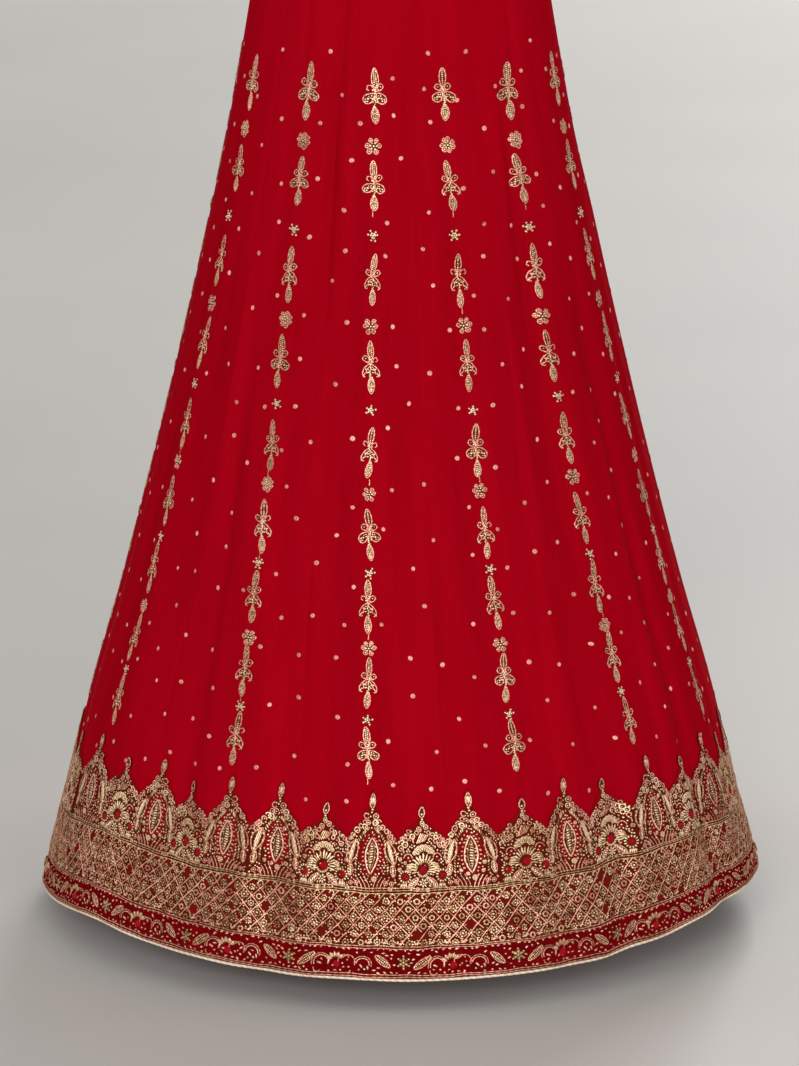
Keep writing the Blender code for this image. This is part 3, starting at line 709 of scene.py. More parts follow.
class Sketch:
    """Stitched shapes on a flat piece of cloth: x across, y up the cloth, z out of it."""

    def __init__(self):
        self.points = []
        self.tones = []
        self.quads = []
        self.tris = []
        self.count = 0

    def add(self, points, tones, quads=(), tris=()):
        if len(quads):
            self.quads.append(np.asarray(quads) + self.count)
        if len(tris):
            self.tris.append(np.asarray(tris) + self.count)
        self.points.append(np.asarray(points, float))
        self.tones.append(np.asarray(tones, float))
        self.count += len(points)

    def dome(self, x, y, rings, tones, rise, tone):
        """Rings of points one inside another, from the foot up, closed by a point over x, y.

        Each ring is its flat points and its height, and has its own tone or one for each point.
        """
        layers = len(rings)
        sides = len(rings[0][0])
        points = [np.column_stack((flat, np.full(sides, height))) for flat, height in rings]
        step = np.arange(sides)
        following = (step + 1) % sides
        quads = [np.stack((step, following, sides + following, sides + step), axis=1) + layer * sides
                 for layer in range(layers - 1)]
        last = (layers - 1) * sides
        tris = np.stack((last + step, last + following, np.full(sides, layers * sides)), axis=1)
        self.add(np.concatenate(points + [[(x, y, rise)]]),
                 np.concatenate([np.broadcast_to(shade, sides) for shade in tones] + [[tone]]),
                 quads=np.concatenate(quads) if quads else (), tris=tris)

    def shade_bed(self, outline, tone=-0.28, rise=0.12):
        """A flat dark patch that fills an outline of points, under what is stitched: painted shade
        inside loops and leaves.
        """
        x, y = outline.mean(axis=0)
        self.dome(x, y, ((outline, rise),), (tone,), rise, tone)

    def seed(self, x, y, size=1.6, tone=0.9, sides=5):
        """A small bead of few faces. Its foot is painted dark as contact shadow and its tip pale as a
        highlight.
        """
        foot = circle(sides, start=x) * (size / 2 + FOOT_SHADOW_REACH) + (x, y)
        self.dome(x, y, ((foot, 0.0),), (0.0,), size / 2 * 1.2, tone * 1.7)

    def disc(self, x, y, radius, height, tone, petals=7):
        """A low padded disc with a petalled edge. Its foot and the dips between its petals are painted
        darker, as shade.
        """
        petal = np.where(np.arange(petals * 2) % 2, 1.0, 0.84)
        edge = circle(petals * 2) * radius * petal[:, None]
        self.dome(x, y, ((edge + (x, y), 0.0), (edge * 0.7 + (x, y), height * 0.85)),
                  (tone * 0.4, tone * petal), height, tone)

    def cord(self, path, width, tone, height=CORD_HEIGHT, closed=False):
        """A metal cord stitched along a path of points."""
        path = np.asarray(path, float)
        ahead = directions(path, closed)
        side = np.stack((-ahead[:, 1], ahead[:, 0]), axis=1)
        reach, rises, tones, faces = cord_section(len(path), width, height, tone, closed)
        flat = path[:, None, :] + side[:, None, :] * reach[None, :, None]
        self.add(np.concatenate((flat, rises[:, :, None]), axis=2).reshape(-1, 3), tones,
                 quads=faces)

    def grain(self, x, y, length=4.0, width=1.5, angle=0.0, tone=0.9):
        """One long bead or satin stitch. At angle 0 it stands up and down. Its foot is painted dark as
        contact shadow and its ridge pale as a highlight.
        """
        half = width / 2 + FOOT_SHADOW_REACH
        reach = length / 2
        outline = np.array(((0.0, reach + FOOT_SHADOW_REACH), (half, reach * 0.55), (half, -reach * 0.55),
                            (0.0, -reach - FOOT_SHADOW_REACH), (-half, -reach * 0.55), (-half, reach * 0.55),
                            (0.0, reach * 0.62), (0.0, -reach * 0.62)))
        rises = [0.0] * 6 + [width * 0.62] * 2
        tones = [0.0] * 6 + [tone * 1.45, tone * 1.2]
        self.add(np.column_stack((turned(outline, x, y, angle), rises)), tones,
                 quads=((2, 1, 6, 7), (5, 4, 7, 6)), tris=((1, 0, 6), (3, 2, 7), (4, 3, 7), (0, 5, 6)))

    def ring(self, x, y, radius=2.0, width=0.9, tone=0.9, sides=8, height=CORD_HEIGHT):
        """A small closed loop of cord."""
        self.cord(circle(sides) * radius + (x, y), width, tone, height, closed=True)

    def eyelet(self, x, y, radius, width, tone, sides, size, bead_tone):
        """A small closed loop of cord round a bead."""
        self.ring(x, y, radius, width, tone, sides)
        self.seed(x, y, size, bead_tone)

    def arc(self, x, y, radius, start, end, width, tone, steps=8, squash=1.0):
        """Part of a loop of cord, from one angle to another, anticlockwise from the right."""
        angles = np.radians(np.linspace(start, end, steps))
        path = np.stack((x + radius * np.cos(angles), y + radius * squash * np.sin(angles)), axis=1)
        self.cord(path, width, tone)

    def satin_leaf(self, x, y, length, width, angle=0.0, lean=28.0, pitch=2.2, tone=0.92):
        """A pointed leaf filled with slanting satin stitches."""
        count = max(int(length / pitch), 3)
        for index in range(count):
            share = (index + 0.5) / count
            wide = width * math.sin(math.pi * share) ** 0.65
            self.grain(*polar(x, y, (share - 0.5) * length, angle + 90.0), max(wide, 1.2) * 1.05,
                       pitch * 0.66, angle + 90.0 + lean, tone * (1.04 - 0.16 * (index % 2)))

    def leaf_outline(self, x, y, length, width, angle=0.0, cord_width=0.9, tone=0.9, steps=14,
                     blunt=1.0, point=0.85, shade_bed=None):
        """A leaf drawn with one cord, on a patch of painted shade if a tone is given for its shade
        bed.

        Below 1, blunt makes it widest near its foot, and a low point gives it rounder ends.
        """
        share = (1.0 - np.cos(np.linspace(0.0, math.pi, steps))) / 2
        up = (share - 0.5) * length
        wide = width / 2 * np.sin(math.pi * share ** blunt) ** point
        right = np.stack((wide, up), axis=1)
        left = np.stack((-wide, up), axis=1)[::-1]
        outline = turned(np.concatenate((right, left[1:-1])), x, y, angle)
        if shade_bed is not None:
            self.shade_bed(outline, shade_bed)
        self.cord(outline, cord_width, tone, closed=True)

    def drop(self, x, y, length, width, angle, cord_width, tone, steps):
        """A loop that leaves a point at x, y and widens into a round end. Angle 0 is upwards."""
        around = np.arange(steps) * 2 * math.pi / steps
        up = length * (1.0 - np.cos(around)) / 2
        across = width * 0.65 * np.sin(around) * np.sin(around / 2)
        self.cord(turned(np.stack((across, up), axis=1), x, y, angle), cord_width, tone,
                  closed=True)

    def sunburst(self, x, y, inner, outer, count, width, tone, start=0.0, end=360.0):
        """Long stitches that point away from a middle, between two angles."""
        whole = end - start >= 360.0
        for angle in np.linspace(start, end, count, endpoint=not whole):
            self.grain(*polar(x, y, (inner + outer) / 2, angle), outer - inner, width, angle - 90.0,
                       tone)


WANDER = 0.00035             # how far handwork strays from where it is drawn


class Stitching:
    """Sketches laid on the cloth and gathered into one piece."""

    def __init__(self, lift=0.0):
        self.lift = lift
        self.turns = []
        self.heights = []
        self.lifts = []
        self.tones = []
        self.quads = []
        self.tris = []
        self.count = 0

    def keep(self, turns, heights, lifts, tones):
        """Keeps points on the cloth. Their lifts are given in millimetres."""
        self.turns.append(turns.reshape(-1))
        self.heights.append(heights.reshape(-1))
        self.lifts.append((lifts * MM + self.lift).reshape(-1))
        self.tones.append(tones.reshape(-1))
        self.count += tones.size

    def lay(self, sketch, turns, heights, angles=0.0, scales=1.0, widths=1.0, mirrors=1.0,
            tones=0.0):
        """Lays one sketch at every turn and height given. Widths stretch it sideways."""
        turns, heights, angles, scales, widths, mirrors, tones = np.broadcast_arrays(
            np.atleast_1d(turns).astype(float), heights, angles, scales, widths, mirrors, tones)
        points = np.concatenate(sketch.points)
        own_tones = np.concatenate(sketch.tones)
        turn = np.radians(angles)[:, None]
        x = points[None, :, 0] * (scales * widths * mirrors)[:, None]
        y = points[None, :, 1] * scales[:, None]
        across = (x * np.cos(turn) - y * np.sin(turn)) * MM
        up = (x * np.sin(turn) + y * np.cos(turn)) * MM
        height = heights[:, None] + up * height_share(heights)[:, None]
        degree = metres_per_degree(np.broadcast_to(turns[:, None], height.shape), height)
        starts = self.count + np.arange(len(turns)) * len(points)
        for groups, store in ((sketch.quads, self.quads), (sketch.tris, self.tris)):
            if groups:
                faces = np.concatenate(groups)
                facing = np.where((mirrors < 0)[:, None, None], faces[None, :, ::-1], faces[None])
                store.append((facing + starts[:, None, None]).reshape(-1, faces.shape[1]))
        self.keep(turns[:, None] + across / degree, height, points[None, :, 2] * scales[:, None],
                  own_tones[None, :] * (1.0 + tones[:, None]))

    def run(self, turns, heights, width, height, tone, closed=False):
        """A cord along a path on the cloth itself, its width and height in millimetres."""
        degree = metres_per_degree(turns, heights)
        rise = height_share(heights)
        if closed:
            step_turn = (np.roll(turns, -1) - np.roll(turns, 1) + 540.0) % 360.0 - 180.0
            step_height = np.roll(heights, -1) - np.roll(heights, 1)
        else:
            step_turn = np.gradient(turns)
            step_height = np.gradient(heights)
        ahead = np.stack((step_turn * degree, step_height / rise), axis=1)
        ahead /= np.maximum(np.linalg.norm(ahead, axis=1, keepdims=True), 1e-12)
        reach, rises, tones, faces = cord_section(len(turns), width, height, tone, closed)
        side = np.stack((-ahead[:, 1], ahead[:, 0]), axis=1) * MM
        across = side[:, None, 0] * reach[None, :]
        up = side[:, None, 1] * reach[None, :]
        self.quads.append(faces + self.count)
        self.keep(turns[:, None] + across / degree[:, None], heights[:, None] + up * rise[:, None],
                  rises, tones)

    def make(self, name, material=GOLD):
        """The piece itself. It strays a little from where it was drawn, as handwork does."""
        turns = np.concatenate(self.turns)
        heights = np.concatenate(self.heights)
        around = np.radians(turns)
        aside = np.sin(43 * around + 130.0 * heights) + 0.6 * np.sin(71 * around - 210.0 * heights)
        rise = np.sin(37 * around + 90.0 * heights + 1.0) + 0.6 * np.sin(83 * around)
        points = lifted(turns + aside * WANDER / metres_per_degree(turns, heights),
                        heights + rise * WANDER, np.concatenate(self.lifts))
        faces = [np.concatenate(groups) for groups in (self.quads, self.tris) if groups]
        return make_mesh(name, points, faces, material,
                         tones=np.clip(np.concatenate(self.tones), -2.0, 2.0))


# ---- the cloth ---------------------------------------------------------------------------------

KALI_COLUMNS = 30            # spaces between the lines of points on one kali
KALI_ROWS = 120
SEAM_MARGINS = np.array((0.0, 0.0012, 0.0034))   # distances from a seam that get a line of points
SEAM_GROOVE = 0.0003
SEAM_GROOVE_REACH = 0.0015


def kali_grid(left, right):
    """Turns and heights of one kali's points, with closer ones beside its two seams."""
    heights = np.linspace(BAND_FOOT - SEAM_GAP, CLOTH_FOOT, KALI_ROWS + 1)[:, None]
    near_left = left + SEAM_MARGINS / metres_per_degree(left, heights)
    near_right = right - SEAM_MARGINS[::-1] / metres_per_degree(right, heights)
    inner_spaces = KALI_COLUMNS - 2 * (len(SEAM_MARGINS) - 1)
    share = np.linspace(0.0, 1.0, inner_spaces + 1)[1:-1]
    between = near_left[:, -1:] + share * (near_right[:, :1] - near_left[:, -1:])
    turns = np.concatenate((near_left, between, near_right), axis=1)
    return turns, np.broadcast_to(heights, turns.shape)


def make_kali(index, with_pieces):
    """One tapering panel of the skirt, drawn in a little along its two seams."""
    left, right = SEAMS[index], SEAMS[index + 1]
    turns, heights = kali_grid(left, right)
    away = np.minimum(turns - left, right - turns) * metres_per_degree(turns, heights)
    groove = SEAM_GROOVE * np.exp(-(away / SEAM_GROOVE_REACH) ** 2)
    make_sheet("kali_%02d" % (index + 1), ALL_KALIS[index], lifted(turns, heights, -groove),
               lifted(turns[::2, ::2], heights[::2, ::2], -PANEL_WALL),
               cloth_places(turns, heights, PANELS[index, 0]), RED_SILK, "red_silk",
               rests_on=["waistband_cloth"], with_pieces=with_pieces)


BAND_COLUMNS = 360
BAND_ROWS = 12
BAND_CLIMB = BAND_WALL + 0.0004


def make_waistband():
    """The band goes once round the waist, and its outer end laps over its inner one."""
    start = BAND_LAP_TURN - BAND_LAP - 360.0
    turns = start + np.linspace(0.0, 360.0 + BAND_LAP, BAND_COLUMNS + 1)[None, :]
    heights = np.linspace(BAND_TOP, BAND_FOOT, BAND_ROWS + 1)[:, None]
    climb = ease((turns - (start + 360.0 - BAND_RISE)) / BAND_RISE) * BAND_CLIMB
    turns, heights = np.broadcast_arrays(turns, heights)
    angle = np.radians(turns)

    def face(reach):
        return np.stack(((profile(heights, 1) + reach) * np.sin(angle),
                         -(profile(heights, 2) + reach) * np.cos(angle), heights), axis=-1)

    places = np.stack((turns * metres_per_degree(0.0, 0.0), heights), axis=-1)
    make_sheet("waistband", "waistband_cloth", face(climb), face(climb - BAND_WALL)[::2, ::2],
               places, RED_SILK, "red_silk")


PLACKET_COLUMNS = 8
PLACKET_ROWS = 20


def make_placket():
    """The lapped strip that covers the opening below the band."""
    heights = np.linspace(BAND_FOOT - SEAM_GAP, PLACKET_FOOT, PLACKET_ROWS + 1)[:, None]
    share = np.linspace(-1.0, 1.0, PLACKET_COLUMNS + 1)[None, :]
    turns = PLACKET_TURN + share * (PLACKET_WIDTH / 2) / metres_per_degree(PLACKET_TURN, heights)
    turns, heights = np.broadcast_arrays(turns, heights)
    make_sheet("placket", "placket_cloth", lifted(turns, heights, GROUND_LIFT),
               lifted(turns[::2, ::2], heights[::2, ::2], SEAM_GAP),
               cloth_places(turns, heights, PLACKET_TURN), RED_SILK, "red_silk",
               rests_on=["waistband_cloth"])


# ---- the grounds of the border -----------------------------------------------------------------

# share of the way to the next arch, share of the arch's height
ARCH_OUTLINE = np.array(((0.0, 1.0), (0.14, 0.58), (0.60, 0.27), (1.0, 0.0)))
ARCH_SHARES = (0.0, 0.07, 0.14, 0.30, 0.45, 0.60, 0.80)
ARCH_GROUND_ROWS = 14
BAND_LINES = 480
LATTICE_ROWS = 8
HEM_ROWS = 6
# the red almond that a tall arch leaves bare: half width, middle, half height, in millimetres
BARE_ALMOND = (12.0, 33.0, 20.0)
STITCH_SHADE_RED_SHARE = 0.12          # share of plain red left under the painted shade between close stitches
# share of plain red inside a tall arch's almond, under a lighter painted shade
ALMOND_SHADE_RED_SHARE = 0.75


def all_arches():
    """Every arch of the border as its turn and the height of its point, all round."""
    found = list(FRONT_ARCHES)
    start = FRONT_ARCHES[-1][0]
    span = FRONT_ARCHES[0][0] + 360.0 - start
    for index in range(BACK_ARCHES):
        point = FLORAL_POINT if index % 2 else TALL_POINT
        found.append((start + span * (index + 1) / (BACK_ARCHES + 1), point))
    return np.array(found)


ARCHES = all_arches()
ARCH_TURNS = ARCHES[:, 0]
ARCH_POINTS = ARCHES[:, 1]
NEXT_TURNS = np.append(ARCH_TURNS[1:], ARCH_TURNS[0] + 360.0)


def arch_rise(share):
    """The share of an arch's height that its outline has, this share of the way from its middle."""
    return np.interp(share, ARCH_OUTLINE[:, 0], ARCH_OUTLINE[:, 1])


def arch_edge():
    """The top edge of the arch border: turns round the skirt, and a height for each."""
    turns = []
    heights = []
    next_points = np.roll(ARCH_POINTS, -1)
    for turn, point, next_turn, next_point in zip(ARCH_TURNS, ARCH_POINTS, NEXT_TURNS, next_points):
        half = (next_turn - turn) / 2
        for share in ARCH_SHARES:
            turns.append(turn + share * half)
            heights.append(VALLEY + arch_rise(share) * (point - VALLEY))
        for share in (1.0,) + ARCH_SHARES[:0:-1]:
            turns.append(next_turn - share * half)
            heights.append(VALLEY + arch_rise(share) * (next_point - VALLEY))
    return np.array(turns), np.array(heights)


def unshaded_share(turns, heights):
    """How much plain red the arch border keeps against the painted shade of its close stitching: all
    along its top edge, more inside the tall arches.
    """
    apart = (turns[..., None] - ARCH_TURNS + 180.0) % 360.0 - 180.0
    nearest = np.abs(apart).argmin(axis=-1)
    apart = np.take_along_axis(apart, nearest[..., None], axis=-1)[..., 0]
    across = apart * metres_per_degree(turns, heights) / MM
    up = (heights - ARCH_FOOT) / MM
    half_width, middle, half_height = BARE_ALMOND
    inside = (across / half_width) ** 2 + ((up - middle) / half_height) ** 2 < 1.0
    bare = np.where(inside & (ARCH_POINTS[nearest] == TALL_POINT), ALMOND_SHADE_RED_SHARE, STITCH_SHADE_RED_SHARE)
    bare[0] = 1.0
    return bare


def make_ground(node, turns, tops, foot, rows, material, slot, with_pieces):
    """A thin skin laid over the kalis all round, which one part of the border is stitched on."""
    share = np.linspace(0.0, 1.0, rows + 1)[:, None]
    heights = tops[None, :] + share * (foot - tops[None, :])
    turns = np.broadcast_to(turns[None, :], heights.shape)
    scale = metres_per_degree(0.0, LATTICE_FOOT)
    make_sheet(node, node + "_ground", lifted(turns, heights, GROUND_LIFT),
               lifted(turns[::2, ::2], heights[::2, ::2], SEAM_GAP),
               np.stack((turns * scale, heights), axis=-1), material, slot, 360.0 * scale,
               unshaded_share(turns, heights) if node == "arch_border" else None,
               rests_on=ALL_KALIS, with_pieces=with_pieces)


def make_grounds(arch_pieces, lattice_pieces, border_pieces):
    turns, tops = arch_edge()
    make_ground("arch_border", turns, tops, ARCH_FOOT, ARCH_GROUND_ROWS, ARCH_SILK,
                "border_ground", arch_pieces)
    turns = np.arange(BAND_LINES) * 360.0 / BAND_LINES
    level = np.ones(BAND_LINES)
    make_ground("lattice_band", turns, level * (ARCH_FOOT - SEAM_GAP), LATTICE_FOOT, LATTICE_ROWS,
                GROUND_SILK, "border_ground", lattice_pieces)
    make_ground("hem_border", turns, level * (LATTICE_FOOT - SEAM_GAP), CLOTH_FOOT, HEM_ROWS,
                HEM_SILK, "hem_silk", border_pieces)


PIPING_LINES = 960
PIPING_SIDES = 10
PIPING_PLY = 0.00014         # how far the wound thread stands out of the piping
PLY_TURNS = 320


def make_piping():
    """The rounded piping along the foot of the kalis, wound with pale gold thread."""
    turns = np.arange(PIPING_LINES) * 360.0 / PIPING_LINES
    level = np.full(PIPING_LINES, HEM_LEVEL + PIPING_RADIUS)
    out = outward(turns, level)
    out[:, 2] = 0.0
    out /= np.linalg.norm(out, axis=1, keepdims=True)
    angle = np.arange(PIPING_SIDES) * 2 * math.pi / PIPING_SIDES
    winding = np.cos(angle[None, :] + np.radians(turns[:, None] * PLY_TURNS))
    radius = PIPING_RADIUS + PIPING_PLY * (winding - 1.0)
    reach = radius * np.cos(angle) - PANEL_WALL / 2
    points = cloth_point(turns, level)[:, None, :] + out[:, None, :] * reach[:, :, None]
    points[:, :, 2] += radius * np.sin(angle)
    faces = grid_faces(PIPING_LINES + 1, PIPING_SIDES, 0, True, False) % winding.size
    # the tone is paler on the wound plies and darker between them: painted highlight and shade
    piece = make_mesh("hem_piping_thread", points.reshape(-1, 3), [faces], PALE_GOLD,
                      tones=0.72 + 0.2 * winding.reshape(-1))
    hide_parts("hem_piping")
    return piece


# ---- what is embroidered on the kalis, in millimetres ------------------------------------------

CORD_TONE = -0.84            # of the thin cords round a motif, which are pinker than what they hold
SHADE_BED_TONE = -0.26             # of the painted shade that fills the loops of a motif
OPEN_CURLS = (2, 6, 8)       # sprigs with one open curl above, on one side
TWO_OPEN_CURLS = 9           # the sprig with two of them
FIRST_NARROW = 5             # from this sprig on, curled cords take the place of the wings
# the curled cords, from the stem outwards
UPPER_CURL = ((0.8, 5.0), (3.4, 10.0), (7.0, 10.6), (7.8, 7.2), (5.8, 6.0))
LOWER_CURL = ((1.0, 4.2), (6.0, 0.4), (9.4, -5.0), (9.0, -9.6), (6.2, -9.8))
INNER_CURL = ((1.2, 1.0), (4.6, -2.4), (5.4, -6.6))
CURL_BEADS = ((6.9, -6.8), (3.2, -5.4), (5.4, -2.0), (8.2, -8.2))
# share of the wing's reach, distance aside, size
WING_BEADS = ((0.76, 1.3, 2.2), (0.78, -1.4, 2.0), (0.60, 0.0, 3.0), (0.44, 1.1, 1.7),
              (0.42, -1.2, 1.7), (0.28, 0.0, 1.7), (0.90, 0.0, 1.6))
# distance aside, height, size, tone
STEM_BEADS = ((2.5, 6.0, 1.8, 1.0), (2.8, -2.2, 2.0, 1.0), (2.2, -5.2, 1.8, 0.9))


def hook(side, points, rng):
    """An open curl of cord on one side of a sprig."""
    path = smooth_path(points, 9) * (side, 1.0)
    return path + rng.uniform(-0.25, 0.25, path.shape)


def draw_long_leaf(sprig, rng, columns):
    """The long leaf at the top of a sprig, filled with one or two columns of beads."""
    lean = rng.uniform(-7.0, 7.0)
    slope = math.radians(lean)
    length = rng.uniform(18.0, 20.0)
    width = rng.uniform(6.0, 7.2)
    middle = 8.5 + length / 2
    root = -middle * math.sin(slope) / 2
    sprig.leaf_outline(root, middle, length, width, lean, 1.15, CORD_TONE, steps=12, blunt=0.92,
                       point=0.55, shade_bed=SHADE_BED_TONE)
    for index in range(8):
        up = (index - 3.5) * 1.95
        for aside in columns:
            sprig.seed(root + aside - up * math.sin(slope), middle + up + aside * 0.5,
                       rng.uniform(1.6, 2.1), rng.uniform(0.70, 1.20))


def draw_upper_loop(sprig, rng, side, curled):
    """One of the two loops beside the stem, or an open curl in its place."""
    if curled:
        sprig.cord(hook(side, UPPER_CURL, rng), 1.15, CORD_TONE)
        return
    turn = rng.uniform(40.0, 58.0)
    reach = rng.uniform(8.2, 9.8)
    sprig.drop(side * 0.8, 4.6, reach, rng.uniform(5.4, 6.4), -side * turn, 1.1, CORD_TONE, 10)
    x, y = polar(0.8, 4.6, reach * 0.66, 90.0 - turn)
    sprig.seed(side * x, y, 1.9, rng.uniform(0.6, 1.0))


def draw_wing(sprig, rng, side, narrow):
    """A drooping wing with beads in it, or two curled cords in its place."""
    if narrow:
        sprig.cord(hook(side, LOWER_CURL, rng), 1.15, CORD_TONE, 0.85)
        sprig.cord(hook(side, INNER_CURL, rng)[::2], 1.0, CORD_TONE)
        for x, y in CURL_BEADS:
            sprig.seed(side * x, y, rng.uniform(1.7, 2.3), rng.uniform(0.8, 1.15))
        return
    lower = rng.uniform(124.0, 140.0)
    reach = rng.uniform(12.5, 14.5)
    sprig.drop(side * 0.6, 3.0, reach, rng.uniform(8.2, 9.6), -side * lower, 1.15, CORD_TONE, 13)
    angle = 90.0 - side * lower
    for share, aside, size in WING_BEADS:
        x, y = polar(side * 0.6, 3.0, reach * share, angle)
        sprig.seed(*polar(x, y, aside, angle + 90.0), size, rng.uniform(0.75, 1.2))


def draw_club_leaf(sprig, rng):
    """The club-shaped leaf at the foot of a sprig, filled with beads."""
    foot = rng.uniform(17.0, 19.0)
    sway = rng.uniform(-6.0, 6.0)
    below = -9.0 - foot / 2
    sprig.leaf_outline(0.0, below, foot, 7.2, sway + 180.0, 1.1, CORD_TONE, steps=12, blunt=1.25,
                       point=0.60, shade_bed=SHADE_BED_TONE)
    slope = math.radians(sway)
    for index in range(9):
        up = (4.0 - index) * 1.75
        wide = 1.9 * math.sin(math.pi * (index + 1.6) / 11.0)
        for aside in (-1.0, 0.0, 1.0) if 2 < index < 8 else (-0.6, 0.6):
            sprig.seed(aside * wide - up * math.sin(slope), below + up + 0.5 * (aside != 0.0),
                       rng.uniform(1.4, 1.9), rng.uniform(0.75, 1.25))


def draw_sprig(seed):
    """A hanging sprig: a long leaf above, two loops, two drooping wings and a club leaf below."""
    rng = np.random.default_rng(seed)
    sprig = Sketch()
    draw_long_leaf(sprig, rng, (-1.0, 1.0) if seed % 3 else (0.0,))
    for index in range(11):
        sprig.seed(rng.uniform(-1.1, 1.1), 8.5 - index * 1.75, rng.uniform(1.9, 2.6),
                   rng.uniform(0.80, 1.25), sides=6)
    for side in (-1.0, 1.0):
        draw_upper_loop(sprig, rng, side, seed == TWO_OPEN_CURLS or seed in OPEN_CURLS and side > 0)
        draw_wing(sprig, rng, side, seed >= FIRST_NARROW)
        for aside, height, size, tone in STEM_BEADS:
            sprig.seed(side * aside, height, size, tone)
    draw_club_leaf(sprig, rng)
    return sprig


def draw_flower(seed):
    """A small round flower: six or seven looped petals round a cluster of beads, on painted shade."""
    rng = np.random.default_rng(seed)
    flower = Sketch()
    petals = 6 + seed % 2
    angles = np.arange(petals) * 2 * math.pi / petals + rng.uniform(-0.12, 0.12, petals)
    flower.shade_bed(6.6 * np.stack((np.cos(angles), np.sin(angles)), axis=1), SHADE_BED_TONE)
    for angle in np.degrees(angles):
        x, y = polar(0.0, 0.0, rng.uniform(5.2, 6.0), angle)
        flower.eyelet(x, y, rng.uniform(1.8, 2.2), 1.05, CORD_TONE, 8, 1.7, rng.uniform(0.7, 1.1))
        flower.seed(x * 0.50, y * 0.50, 2.0, rng.uniform(0.85, 1.2))
    flower.seed(0.0, 0.0, 2.3, 1.1)
    return flower


def draw_star(seed):
    """A little star: a cluster of fat beads, with small pink ones at its points."""
    rng = np.random.default_rng(seed)
    star = Sketch()
    rays = 5 + seed % 2
    for index in range(rays):
        angle = 360.0 * index / rays + math.degrees(rng.uniform(-0.2, 0.2))
        reach = rng.uniform(2.1, 2.6)
        star.seed(*polar(0.0, 0.0, reach, angle), rng.uniform(2.9, 3.4), rng.uniform(0.85, 1.10),
                  sides=6)
        reach += rng.uniform(2.2, 3.2)
        star.seed(*polar(0.0, 0.0, reach, angle), rng.uniform(2.0, 2.5), -rng.uniform(1.0, 1.3))
    star.seed(0.0, 0.0, 2.6, 1.1)
    return star


def draw_sequin():
    """A flat pale disc held down by a thread through its middle. Its foot ring is painted dark as
    contact shadow and its face pale as a highlight.
    """
    # radius, height, tone
    rings = ((3.10, 0.0, 0.0), (2.50, 0.40, 0.85), (1.20, 0.50, 1.15), (0.45, 0.40, 0.75))
    sequin = Sketch()
    sequin.dome(0.0, 0.0, [(circle(9) * radius, height) for radius, height, tone in rings],
                [tone for radius, height, tone in rings], 0.35, 0.45)
    return sequin


SPRIGS = [draw_sprig(seed) for seed in range(10)]
FLOWERS = [draw_flower(seed) for seed in range(6)]
STARS = [draw_star(seed) for seed in range(6)]
SEQUIN = draw_sequin()

# of the sprigs down each line, from the top: the last one stands for all that follow
SPRIG_SCALES = (0.96, 0.84, 0.90)
SPRIG_WIDTHS = (1.06, 1.12, 0.96)
SPRIG_STRAY = 0.8            # sideways from the middle of the line, in millimetres
THREAD_TAILS = 0.35          # share of the sprigs that end in a loose-looking thread
TAIL_START = 0.0265          # below the middle of a sprig of full size, in metres


def make_kali_embroidery(index):
    """The line of sprigs, flowers and stars down one kali."""
    rng = np.random.default_rng(100 + index)
    turn = PANELS[index, 0]
    stitching = Stitching()
    for place, height in enumerate(LINE_HEIGHTS):
        if place % 2 == 0:
            sketch = SPRIGS[rng.integers(0, 6) if place < 4 else rng.integers(3, len(SPRIGS))]
            width = SPRIG_WIDTHS[min(place // 2, len(SPRIG_WIDTHS) - 1)]
            scale = SPRIG_SCALES[min(place // 2, len(SPRIG_SCALES) - 1)]
        else:
            sketch = (FLOWERS if place % 4 == 1 else STARS)[rng.integers(6)]
            width = 1.0
            scale = 1.0 if place < 6 else 0.9
        mirror = 1.0 if rng.random() < 0.5 else -1.0
        aside = rng.uniform(-SPRIG_STRAY, SPRIG_STRAY) * MM / metres_per_degree(turn, height)
        stitching.lay(sketch, turn + aside, height + rng.uniform(-1.0, 1.0) * MM,
                      rng.uniform(-4.0, 4.0), scale * rng.uniform(0.95, 1.05), width, mirror,
                      rng.uniform(-0.06, 0.06))
        if place % 2 == 0 and rng.random() < THREAD_TAILS:
            tail = height - TAIL_START * scale - np.linspace(0.0, rng.uniform(0.004, 0.008), 4)
            stitching.run(np.full(4, turn), tail, 0.30, 0.3, -0.80)
    return stitching.make("kali_%02d_embroidery" % (index + 1))


def scattered_sequins():
    """Turns and heights of the sequins, kept apart from each other and from the lines."""
    rng = np.random.default_rng(7)
    heights = rng.uniform(SEQUIN_FOOT, SEQUIN_TOP, SEQUIN_TRIES)
    share = profile(heights, 1) / profile(SEQUIN_FOOT, 1)
    turns = rng.uniform(SEAMS[0], SEAMS[-1], SEQUIN_TRIES)
    edge = np.interp(turns, *arch_edge(), period=360.0)
    to_line = np.abs((PANELS[:, 0] - turns[:, None] + 180.0) % 360.0 - 180.0).min(axis=1)
    wanted = ((share > rng.random(SEQUIN_TRIES)) & (heights > edge + SEQUIN_ABOVE_ARCHES)
              & (to_line * metres_per_degree(turns, heights) >= SEQUIN_CLEARANCE))
    points = cloth_point(turns, heights)
    kept = []
    for index in np.flatnonzero(wanted):
        apart = np.linalg.norm(points[kept] - points[index], axis=1)
        if not kept or apart.min() >= SEQUIN_SPACING:
            kept.append(index)
    return turns[kept], heights[kept]


SEQUIN_TURNS, SEQUIN_HEIGHTS = scattered_sequins()


